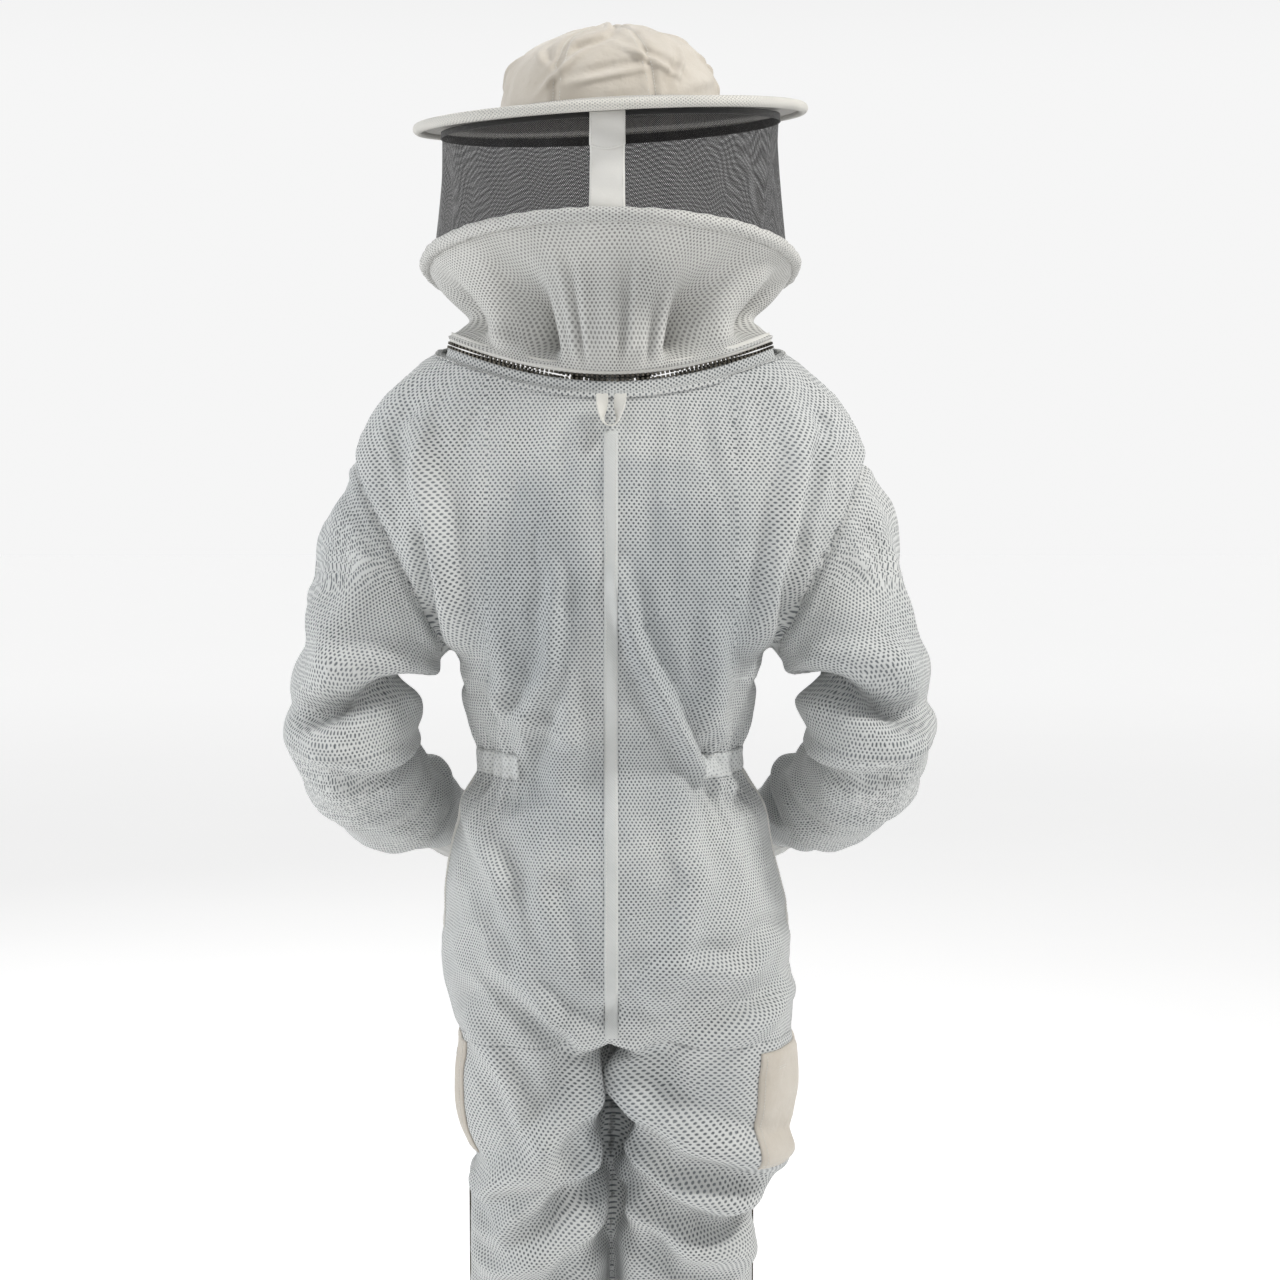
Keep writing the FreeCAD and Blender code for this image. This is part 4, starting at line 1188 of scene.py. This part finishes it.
def build_veil():
    a = circle(256)
    t = np.linspace(0, 1, 30)
    pts = np.empty((30, 256, 3))
    for i, f in enumerate(t):
        for j, b in enumerate(a):
            slack = -0.004 * math.sin(math.pi * f) + 0.0016 * math.sin(9 * b + 2 * f) * math.sin(math.pi * f)
            slack += 0.0012 * math.sin(23 * b + 5 * f) * math.sin(math.pi * f)
            pts[i, j] = veil_point(b, f, slack)
    net = grid("veil", pts, closed=True)
    dress(net, NET, "hood", "veil_net", sheet=("stretched", ["brim", "hoop"]))

    pts = np.array([[veil_point(b, f, 0.0012) for b in a] for f in (0.945, 0.97, 0.995)])
    top = grid("veil_top_edge", pts, closed=True)
    dress(top, BLACK, "hood", "veil_top_binding", TAPE_THICK, -1.0)

    # the tape down the back of the veil, with its sewn reinforcement at the top
    middle = math.radians(90 - 1.0)
    for name, node, width, low, high, out in (
        ("veil_back_strap", "back_strap", 0.033, 0.0, 0.995, 0.0026), ("strap_patch", None, 0.034, 0.66, 0.99, 0.0042),
    ):
        cols, rows_n = 17, 40
        pts = np.empty((rows_n, cols, 3))
        for i in range(rows_n):
            for j in range(cols):
                s = (j / (cols - 1) - 0.5) * 2
                f = low + (high - low) * i / (rows_n - 1)
                bow = 0.05 * (1 - s * s) if name == "strap_patch" else 0.0
                f = f - bow * (1 - i / (rows_n - 1))
                ripple = 0.0007 * math.sin(f * 21 + s) + 0.0010 * math.sin(f * 8 + 1)
                pts[i, j] = veil_point(middle + s * width / 2 / 0.178, min(f, 0.995), out + ripple)
        strap = grid(name, pts)
        dress(strap, TAPE, "hood", node, TAPE_THICK, sheet=("stretched", ["brim", "hoop"]))
        edges = [pts[:, 1], pts[:, cols - 2]]
        if name == "strap_patch":
            edges.append(pts[2])
        stitches(name + "_stitching", edges, "hood", on=strap)

    pts = torus_points(HOOP_R, 0.0069, 420, 18)
    b = np.arctan2(pts[..., 1], pts[..., 0])
    pucker = 1 + 0.0022 * np.sin(b * 61) + 0.003 * np.sin(b * 17 + 1)
    pts[..., 2] += 0.0004 * np.sin(b * 43)
    pts[..., :2] *= (1 + (pucker - 1) * 0.8)[..., None]
    hoop = ring_grid("hoop", place(pts, RING), np.arange(19) * 0.0024, np.arange(421) * 0.00283)
    dress(hoop, SKIRT, "hood", "hoop_cover")
    c = circle(700)
    line = place(np.stack([0.1850 * np.cos(c), 0.1850 * np.sin(c), np.full(700, -0.0062)], 1), RING)
    stitches("hoop_stitching", [line], "hood")

    # skirt: from the hoop to the neck zip, with big pleats
    cols, rows_n = 520, 46
    pts = np.empty((rows_n, cols, 3))
    ring_c = circle(cols, -math.pi / 2)
    for j, c in enumerate(ring_c):
        # the neck line is met at the same bearing from the middle
        top = place(np.array([[0.1855 * math.cos(c), 0.1855 * math.sin(c), -0.0045]]), RING)[0]
        p, o, u = neck_frame(bearing_to_turn(c))
        low = p + o * 0.0026 + u * 0.0068
        back = max(0.0, math.sin(c)) ** 2 + 0.35 * max(0.0, -math.sin(c)) ** 2
        for i in range(rows_n):
            f = i / (rows_n - 1)
            q = top * (1 - f) + low * f
            away = np.array([math.cos(c), math.sin(c), 0])
            inward = back * 0.030 * math.sin(math.pi * f ** 0.6) + (1 - back) * 0.036 * math.sin(math.pi * f ** 1.7)
            sewn = step(0.0, 0.20, 1 - f) * step(0.0, 0.55, f)
            q = q + away * (pleat_depth(c, f) * sewn - inward)
            q[2] -= 0.004 * math.sin(math.pi * f)
            pts[i, j] = q
    skirt = grid("skirt", pts, closed=True)
    flat = coords(skirt)
    set_coords(skirt, flat + vertex_normals(skirt) * (0.0016 * wobble(flat, 0.05, 31))[:, None] * 0.6)
    dress(skirt, SKIRT, "hood", "pleated_skirt", 0.0026,
          sheet=("gathered", ["hoop", "neck_zip_upper_tape"]), smooth=True)


BEARINGS = np.array([math.atan2(p[1], p[0]) for p in NECK_P])


def bearing_to_turn(c):
    d = np.abs(np.angle(np.exp(1j * (BEARINGS - c))))
    i = int(np.argmin(d))
    best, span = float(i), 1.0
    for _ in range(18):
        span /= 2
        for t in (best - span, best + span):
            p = neck_frame(t % 360)[0]
            if abs(np.angle(np.exp(1j * (math.atan2(p[1], p[0]) - c)))) < abs(
                np.angle(np.exp(1j * (math.atan2(*neck_frame(best % 360)[0][1::-1]) - c)))
            ):
                best = t
                break
    return best % 360


# Pleats of the skirt at the zip: bearing in degrees, half width in degrees, depth (+ out, - in).
PLEATS = [
    (90, 22, 0.012), (77.5, 2.2, -0.006), (74.5, 2.0, 0.003), (95, 2.2, -0.006), (98, 2.0, 0.003), (107, 2.2, -0.006),
    (60, 6.5, -0.030), (121, 6.5, -0.030), (43, 8, 0.016), (138, 8, 0.016), (26, 6, -0.016), (154, 6, -0.018),
    (12, 7, 0.010), (168, 7, 0.012),
    (0, 6, -0.010), (181, 6, -0.010), (-12, 9, 0.010), (194, 9, 0.010), (-27, 6, -0.010), (208, 6, -0.010),
    (-42, 9, 0.012), (222, 9, 0.012), (-60, 6, -0.008), (242, 6, -0.008), (-80, 6, 0.008), (262, 6, 0.008),
]


def pleat_depth(c, f):
    """Pleats fan out from the zip (f = 1) towards the hoop (f = 0)."""
    deg = math.degrees(c)
    off = (deg - 90 + 180) % 360 - 180
    deg = 90 + off / (1 + 0.42 * (1 - f) * bump(off, 150.0))
    total = 0.0
    for at, width, depth in PLEATS:
        d = (deg - at + 180) % 360 - 180
        if abs(d) < width * 1.5:
            total += depth * (1 - (d / (width * 1.5)) ** 2) ** 2
    return total + 0.0012 * math.sin(c * 29)


# ---------------------------------------------------------------- zips
NECK_TURNS = np.arange(2.0, 358.01, 1.5)


def neck_band(profile):
    """Rows round the neck line; each (outward, up) of the profile gives one column."""
    return np.array([[p + o * r + u * h for r, h in profile] for p, o, u in map(neck_frame, NECK_TURNS)])


def build_neck_zip(panels_tree):
    """The cloth halves of the neck zip; the lower one laps over the coverall's edge."""
    upper = neck_band([(0.0006, 0.0033), (0.0006, 0.0060), (0.0005, 0.0080), (0.0004, 0.0100), (0.0003, 0.0130)])
    obj = grid("neck_tape_upper", upper)
    dress(obj, TAPE, "hood", "neck_zip_upper_tape", TAPE_THICK, sheet=("stretched", ["skirt"]))
    stitches("neck_stitching_upper", [upper[:, 2]], "hood", on=obj)

    pts = np.empty((len(NECK_TURNS), 8, 3))
    pts[:, :4] = neck_band([(0.0006, -0.0033), (0.0006, -0.0065), (0.0008, -0.0100), (0.0012, -0.0130)])
    for i, t in enumerate(NECK_TURNS):
        p, o, u = neck_frame(t)
        start = p + o * 0.0085 + u * -0.0140
        hit = np.array(panels_tree.find_nearest(Vector(start))[0])
        # step outwards over the cloth from its edge
        down, out = (-u, o) if hit.dot(o) - p.dot(o) < 0.007 else (o, u)
        for j, reach in enumerate((0.0, 0.0015, 0.003, 0.0045)):
            guess = hit + down * reach + out * 0.002
            near, nn, _, _ = panels_tree.find_nearest(Vector(guess))
            near, nn = np.array(near), np.array(nn)
            if nn.dot(out) < 0:
                nn = -nn
            pts[i, 4 + j] = near + nn * 0.0012
    for _ in range(2):
        pts[1:-1, 3:] = (pts[:-2, 3:] + 2 * pts[1:-1, 3:] + pts[2:, 3:]) / 4
    obj = grid("neck_tape_lower", pts)
    dress(obj, MESH, "suit", "neck_zip_lower_tape", TAPE_THICK,
          sheet=("stretched", ["cloth_back_panel_left"]))
    stitches("neck_stitching_lower", [pts[:, 6]], "suit", on=obj)


def tape_strips(name, node, strips, cloth):
    """Woven tapes of one zip as one piece: each strip is an array of points [row, column, 3]."""
    verts, faces, uvs = [], [], []
    dv, du = 0.006, 0.0016
    for pts in strips:
        rows, cols = pts.shape[:2]
        base = len(verts)
        verts += [tuple(p) for p in pts.reshape(-1, 3)]
        for r in range(rows - 1):
            for c in range(cols - 1):
                at = base + r * cols + c
                faces.append((at, at + 1, at + cols + 1, at + cols))
                uvs += [(c * du, r * dv), ((c + 1) * du, r * dv), ((c + 1) * du, (r + 1) * dv), (c * du, (r + 1) * dv)]
    obj = add_object(name, verts, faces)
    layer = obj.data.uv_layers.new(name="UVMap")
    layer.data.foreach_set("uv", np.array(uvs).reshape(-1))
    shade_smooth(obj)
    dress(obj, TAPE, "suit", node, TAPE_THICK, sheet=("stretched", cloth))


def build_straight_zips():
    def strip(heights, point):
        return np.array([[point(edge, z) for edge in TAPE_EDGES] for z in heights])

    heights = np.linspace(FRONT_ZIP_LOW, -0.030, 100)
    strips = [strip(heights, lambda edge, z: (s * edge, -0.1264, z)) for s in (1, -1)]
    tape_strips("front_tape", "front_zip_tapes", strips, ["cloth_front_panel_left", "cloth_front_panel_right"])
    heights = np.linspace(-1.394, LEG_ZIP_TOP, 92)
    for side, hand in SIDES:
        strips = [strip(heights, lambda edge, z: (side * 0.1484, s * edge, z)) for s in (1, -1)]
        tape_strips("leg_tape_" + hand, "leg_zip_tapes_" + hand, strips,
                    ["cloth_leg_front_" + hand, "cloth_leg_back_" + hand])


# ---------------------------------------------------------------- sewn pieces on the cloth
def tree_of(objects):
    """One search tree over the meshes of several pieces."""
    bm = bmesh.new()
    for obj in objects:
        bm.from_mesh(obj.data)
    tree = BVHTree.FromBMesh(bm)
    bm.free()
    return tree


def patch_on(name, node, tree, corner, cols, rows_n, way, offset, thick, material, held_how="stretched",
             ruffle=0.0):
    """A piece of cloth laid on the panels: corner(s, t) is a point near them, and way(s, t) the way to look."""
    pts = np.empty((rows_n, cols, 3))
    for i in range(rows_n):
        for j in range(cols):
            s, t = j / (cols - 1), i / (rows_n - 1)
            p = Vector(corner(s, t))
            w = Vector(way(s, t)).normalized()
            hit, normal, _, _ = tree.ray_cast(p - w * 0.25, w)
            if hit is None:
                hit, normal, _, _ = tree.find_nearest(p)
            if normal.dot(w) > 0:
                normal = -normal
            edge = min(i, rows_n - 1 - i, j, cols - 1 - j)
            puff = offset + ruffle * math.sin(s * 40) * math.sin(math.pi * t)
            puff = 0.0004 + (puff - 0.0004) * min(1.0, edge / 2)
            pts[i, j] = np.array(hit + normal * puff)
    for _ in range(2):
        pts[1:-1] = (pts[:-2] + 2 * pts[1:-1] + pts[2:]) / 4
        pts[:, 1:-1] = (pts[:, :-2] + 2 * pts[:, 1:-1] + pts[:, 2:]) / 4
    obj = grid(name, pts)
    dress(obj, material, "suit", node, thick, sheet=(held_how, ["cloth_back_panel_left"]))
    return obj, pts


def build_trim(tree, legs):
    band, pts = patch_on(
        "centre_back_seam", "centre_back_band", tree, lambda s, t: ((s - 0.5) * 0.0135, 0.1, -0.052 - t * 0.606),
        7, 150, lambda s, t: (0, -1, 0), 0.0016, 0.0014, BAND)
    stitches("back_seam_stitching", [pts[:, 1], pts[:, 5]], "suit", on=band)

    for side, hand in SIDES:
        def around(s, t, lo, hi, z0, z1):
            a = lo + (hi - lo) * s
            return (side * 0.16 * math.cos(a), 0.13 * math.sin(a), z0 + (z1 - z0) * t)

        def inward(s, t, lo, hi):
            a = lo + (hi - lo) * s
            return (-side * math.cos(a), -math.sin(a), 0)

        lo, hi = math.radians(-50), math.radians(50)
        casing, pts = patch_on(
            "waist_casing_" + hand, "waist_elastic_casing_" + hand, tree,
            lambda s, t: around(s, t, lo, hi, -0.402, -0.378), 90, 12, lambda s, t: inward(s, t, lo, hi),
            0.0024, 0.0018, CASING, "gathered", 0.0016)
        stitches("waist_stitching_" + hand, [pts[1], pts[10]], "suit", on=casing)
        lo2, hi2 = math.radians(-4.6), math.radians(4.6)
        slit, pts = patch_on(
            "hip_slit_" + hand, "hip_slit_binding_" + hand, tree,
            lambda s, t: around(s, t, lo2, hi2, -0.570, -0.404), 9, 60, lambda s, t: inward(s, t, lo2, hi2),
            0.0016, 0.0014, TAPE)
        stitches("hip_slit_stitching_" + hand, [pts[:, 1], pts[:, 7]], "suit", on=slit)

        # the right pocket reaches further round to the back
        lo3 = math.radians(-34 if side < 0 else -54)
        hi3 = lo3 + math.radians(90)

        def cargo(s, t):
            a = lo3 + (hi3 - lo3) * s
            return (side * (0.09 + 0.085 * math.cos(a)), 0.105 * math.sin(a), -0.800 + 0.120 * t)

        pocket, pts = patch_on(
            "cargo_cloth_" + hand, "cargo_pocket_" + hand, legs, cargo, 60, 52, lambda s, t: inward(s, t, lo3, hi3),
            0.0034, 0.0016, CREAM)
        stitches("cargo_stitching_" + hand, [pts[:, 2], pts[:, -3], pts[2], pts[-8], pts[-9]], "suit", on=pocket)

    pocket, pts = patch_on(
        "chest_pocket_cloth", "chest_pocket", tree, lambda s, t: (0.045 + 0.12 * s, -0.1, -0.262 + 0.14 * t),
        50, 56, lambda s, t: (0, 1, 0), 0.0024, 0.0016, CREAM)
    stitches("chest_pocket_stitching", [pts[:, 2], pts[:, -3], pts[2], pts[-8]], "suit", on=pocket)


def stitch_armholes(tree):
    """Two rows of stitches round each armhole, one each side of the seam."""
    middle = (SEAM_TOP + SEAM_LOW) / 2
    run = unit(SEAM_RUN)
    for side, hand in SIDES:
        lines = []
        for shift in (-0.0055, 0.0055):
            line = []
            for turn in np.linspace(0, 2 * math.pi, 160):
                way = run * math.cos(turn) + np.array([0, 1.0, 0]) * math.sin(turn)
                start = middle + SEAM_N * shift
                hit, _, _, _ = tree.ray_cast(Vector(start * (side, 1, 1)), Vector(way * (side, 1, 1)), 0.2)
                if hit is None:
                    continue
                line.append(np.array(hit) + way * (side, 1, 1) * 0.0032)
            lines.append(line)
        lines = [line for line in lines if len(line) > 3]
        stitches("armhole_stitching_" + hand, lines, "suit")


def build_loop_and_flap():
    # hanging loop: a narrow tape sewn on by both ends, turned edge-on where it swings round at the bottom
    middle = []
    for z in np.linspace(-0.016, -0.038, 16):
        middle.append((0.0085, z, 0.0))
    for turn in np.linspace(0, math.pi, 17)[1:-1]:
        middle.append((0.0005 + 0.0080 * math.cos(turn), -0.038 - 0.0090 * math.sin(turn), turn))
    for z in np.linspace(-0.038, -0.016, 16):
        middle.append((-0.0075 - 0.10 * (z + 0.038), z, math.pi))
    cols = 11
    pts = np.empty((len(middle), cols, 3))
    for i, (x, z, turn) in enumerate(middle):
        f = i / (len(middle) - 1)
        twist = math.pi / 2 * math.sin(math.pi * f) ** 1.6
        stand = 0.1290 + 0.0062 * math.sin(math.pi * f) ** 1.2
        for j in range(cols):
            s = (j / (cols - 1) - 0.5) * 0.0120
            flat = s * math.cos(twist)
            pts[i, j] = (x + flat * math.cos(turn), stand + s * math.sin(twist), z - flat * math.sin(turn))
    loop = grid("hang_loop", pts)
    dress(loop, TAPE, "suit", "hanging_loop", 0.0014, sheet=("folded", ["cloth_back_panel_left"]))
    stitches("loop_stitching", [pts[:12, 1], pts[:12, cols - 2], pts[-12:, 1], pts[-12:, cols - 2]], "suit", on=loop)

    pts = np.empty((24, 24, 3))
    for i in range(24):
        for j in range(24):
            s, t = j / 23 - 0.5, i / 23
            pts[i, j] = (s * 0.0475, -0.1404 - 0.0006 * math.cos(s * 6), -0.0217 + t * 0.0394)
    flap = grid("throat_flap_cloth", pts)
    dress(flap, TAPE, "flap", "throat_flap", 0.0016, sheet=("hung", ["neck_zip_lower_tape"]))
    stitches("flap_stitching", [pts[:, 1], pts[:, 22], pts[1], pts[22]], "flap", on=flap)


def cuff(name, node, cloth, centre, axis, radius, length, slot_side=0):
    """A ribbed cuff; slot_side is the side, 1 or -1, on which the leg zip leaves it open."""
    axis = unit(np.array(axis, float))
    cols, rows_n = 150, 16
    if slot_side:
        gap = math.asin(0.0084 / radius)
        a = np.linspace(gap, 2 * math.pi - gap, cols) + (0 if slot_side > 0 else math.pi)
        a1, a2 = np.eye(3)[:2]
    else:
        a = circle(cols)
        a1 = unit(np.cross(axis, (0, 0, 1.0)))
        a2 = np.cross(axis, a1)
    pts = np.empty((rows_n, cols, 3))
    for i in range(rows_n):
        t = i / (rows_n - 1)
        r = radius - 0.0006 * math.sin(math.pi * t) - 0.0004
        if not slot_side:
            r += 0.0004 * math.sin(t * 9)
        ring = (r + 0.0004 * np.sin(a * 60))[:, None]
        pts[i] = np.array(centre) + axis * (length * t) + ring * (a1 * np.cos(a)[:, None] + a2 * np.sin(a)[:, None])
    obj = grid(name, pts, closed=not slot_side)
    dress(obj, RIB, "suit", node, 0.0024, -1.0, ("stretched", [cloth]), smooth=True)


def build_cuffs():
    for side, hand in SIDES:
        cuff("wrist_rib_" + hand, "wrist_cuff_" + hand, "cloth_forearm_sleeve_" + hand,
             WRIST * (side, 1, 1), WRIST_N * (side, 1, 1), 0.038, 0.046)
        cuff("ankle_rib_" + hand, "ankle_cuff_" + hand, "cloth_leg_back_" + hand,
             (side * 0.1, 0, ANKLE), (0, 0, -1), 0.050, 0.052, side)


# ---------------------------------------------------------------- stage
def build_stage():
    corners = [(-30, -30), (30, -30), (30, 30), (-30, 30)]
    floor = add_object("floor", [(x, y, FLOOR) for x, y in corners], [(0, 1, 2, 3)])
    n = Nodes("floor_pale")
    tone = n.mix(n.noise(n.position(), 1.5, 3.0), rgb(0.70, 0.70, 0.70), rgb(0.74, 0.74, 0.74))
    n.shader(tone, 0.8)
    glow = [node for node in n.tree.nodes if node.type == "BSDF_PRINCIPLED"][0]
    glow.inputs["Emission Color"].default_value = (1, 1, 1, 1)
    # the far floor glows a little more, so that it meets the backdrop without a line
    far = n.ramp(n.length(n.position()), 2.2, 12.0)
    n.link(n.math("MULTIPLY_ADD", far, 0.14, 0.52), glow.inputs["Emission Strength"])
    paint(floor, n.mat)
    world = bpy.data.worlds.new("studio")
    bpy.context.scene.world = world
    world.use_nodes = True
    nodes, links = world.node_tree.nodes, world.node_tree.links
    direction = nodes.new("ShaderNodeTexCoord")
    parts = nodes.new("ShaderNodeSeparateXYZ")
    links.new(direction.outputs["Generated"], parts.inputs[0])
    height = nodes.new("ShaderNodeMapRange")
    height.interpolation_type = "SMOOTHSTEP"
    links.new(parts.outputs[2], height.inputs[0])
    # the backdrop falls off from 0.92 near the horizon to 0.26 high up
    for i, value in enumerate((0.16, 0.50, 0.92, 0.26), 1):
        height.inputs[i].default_value = value
    nodes["Background"].inputs[0].default_value = (1.0, 1.0, 1.0, 1)
    links.new(height.outputs[0], nodes["Background"].inputs[1])
    bpy.context.scene.view_settings.view_transform = "Standard"
    for name, place_at, target, size, power, tint in (
        ("key", (-2.3, 0.9, 2.4), (0, 0, -0.3), 0.6, 88, (1.0, 0.99, 0.96)),
        ("fill", (3.2, 0.7, 0.8), (0, 0, -0.3), 1.6, 44, (0.94, 0.97, 1.0)),
        ("top", (0.2, 0.6, 3.0), (0, 0, 0), 1.4, 22, (1, 1, 1)),
        ("front", (1.5, -3.0, 1.6), (0, 0, -0.3), 2.4, 30, (1, 1, 1)),
    ):
        lamp = bpy.data.lights.new(name, "AREA")
        lamp.size = size
        lamp.energy = power
        lamp.color = tint
        obj = bpy.data.objects.new(name, lamp)
        obj.location = place_at
        obj.rotation_euler = (Vector(target) - Vector(place_at)).to_track_quat("-Z", "Y").to_euler()
        bpy.context.scene.collection.objects.link(obj)
    cam = bpy.data.cameras.new("camera")
    obj = bpy.data.objects.new("camera", cam)
    bpy.context.scene.collection.objects.link(obj)
    obj.location = (0.0, 2.30, -0.085)
    target = Vector((-0.029, 0.10, -0.260))
    obj.rotation_euler = (target - obj.location).to_track_quat("-Z", "Y").to_euler()
    cam.sensor_width = 36
    cam.sensor_fit = "HORIZONTAL"
    cam.lens = cam.sensor_width * (target - obj.location).length / PICTURE_WIDTH
    bpy.context.scene.camera = obj


def dress_cad_nodes():
    for name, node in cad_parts.items():
        if "teeth" in name or "slider" in name or "pull" in name:
            paint(node, TEETH)
        elif "wire" in name:
            paint(node, WIRE)


skin = build_skin()
panels = split_panels(skin)
finish_panels(panels)
torso_tree = tree_of([obj for name, obj in panels.items() if "panel" in name])
leg_tree = tree_of([obj for name, obj in panels.items() if "leg" in name])
build_hat()
build_veil()
build_neck_zip(torso_tree)
build_straight_zips()
build_trim(torso_tree, leg_tree)
stitch_armholes(tree_of(list(panels.values())))
build_loop_and_flap()
build_cuffs()
dress_cad_nodes()
build_stage()
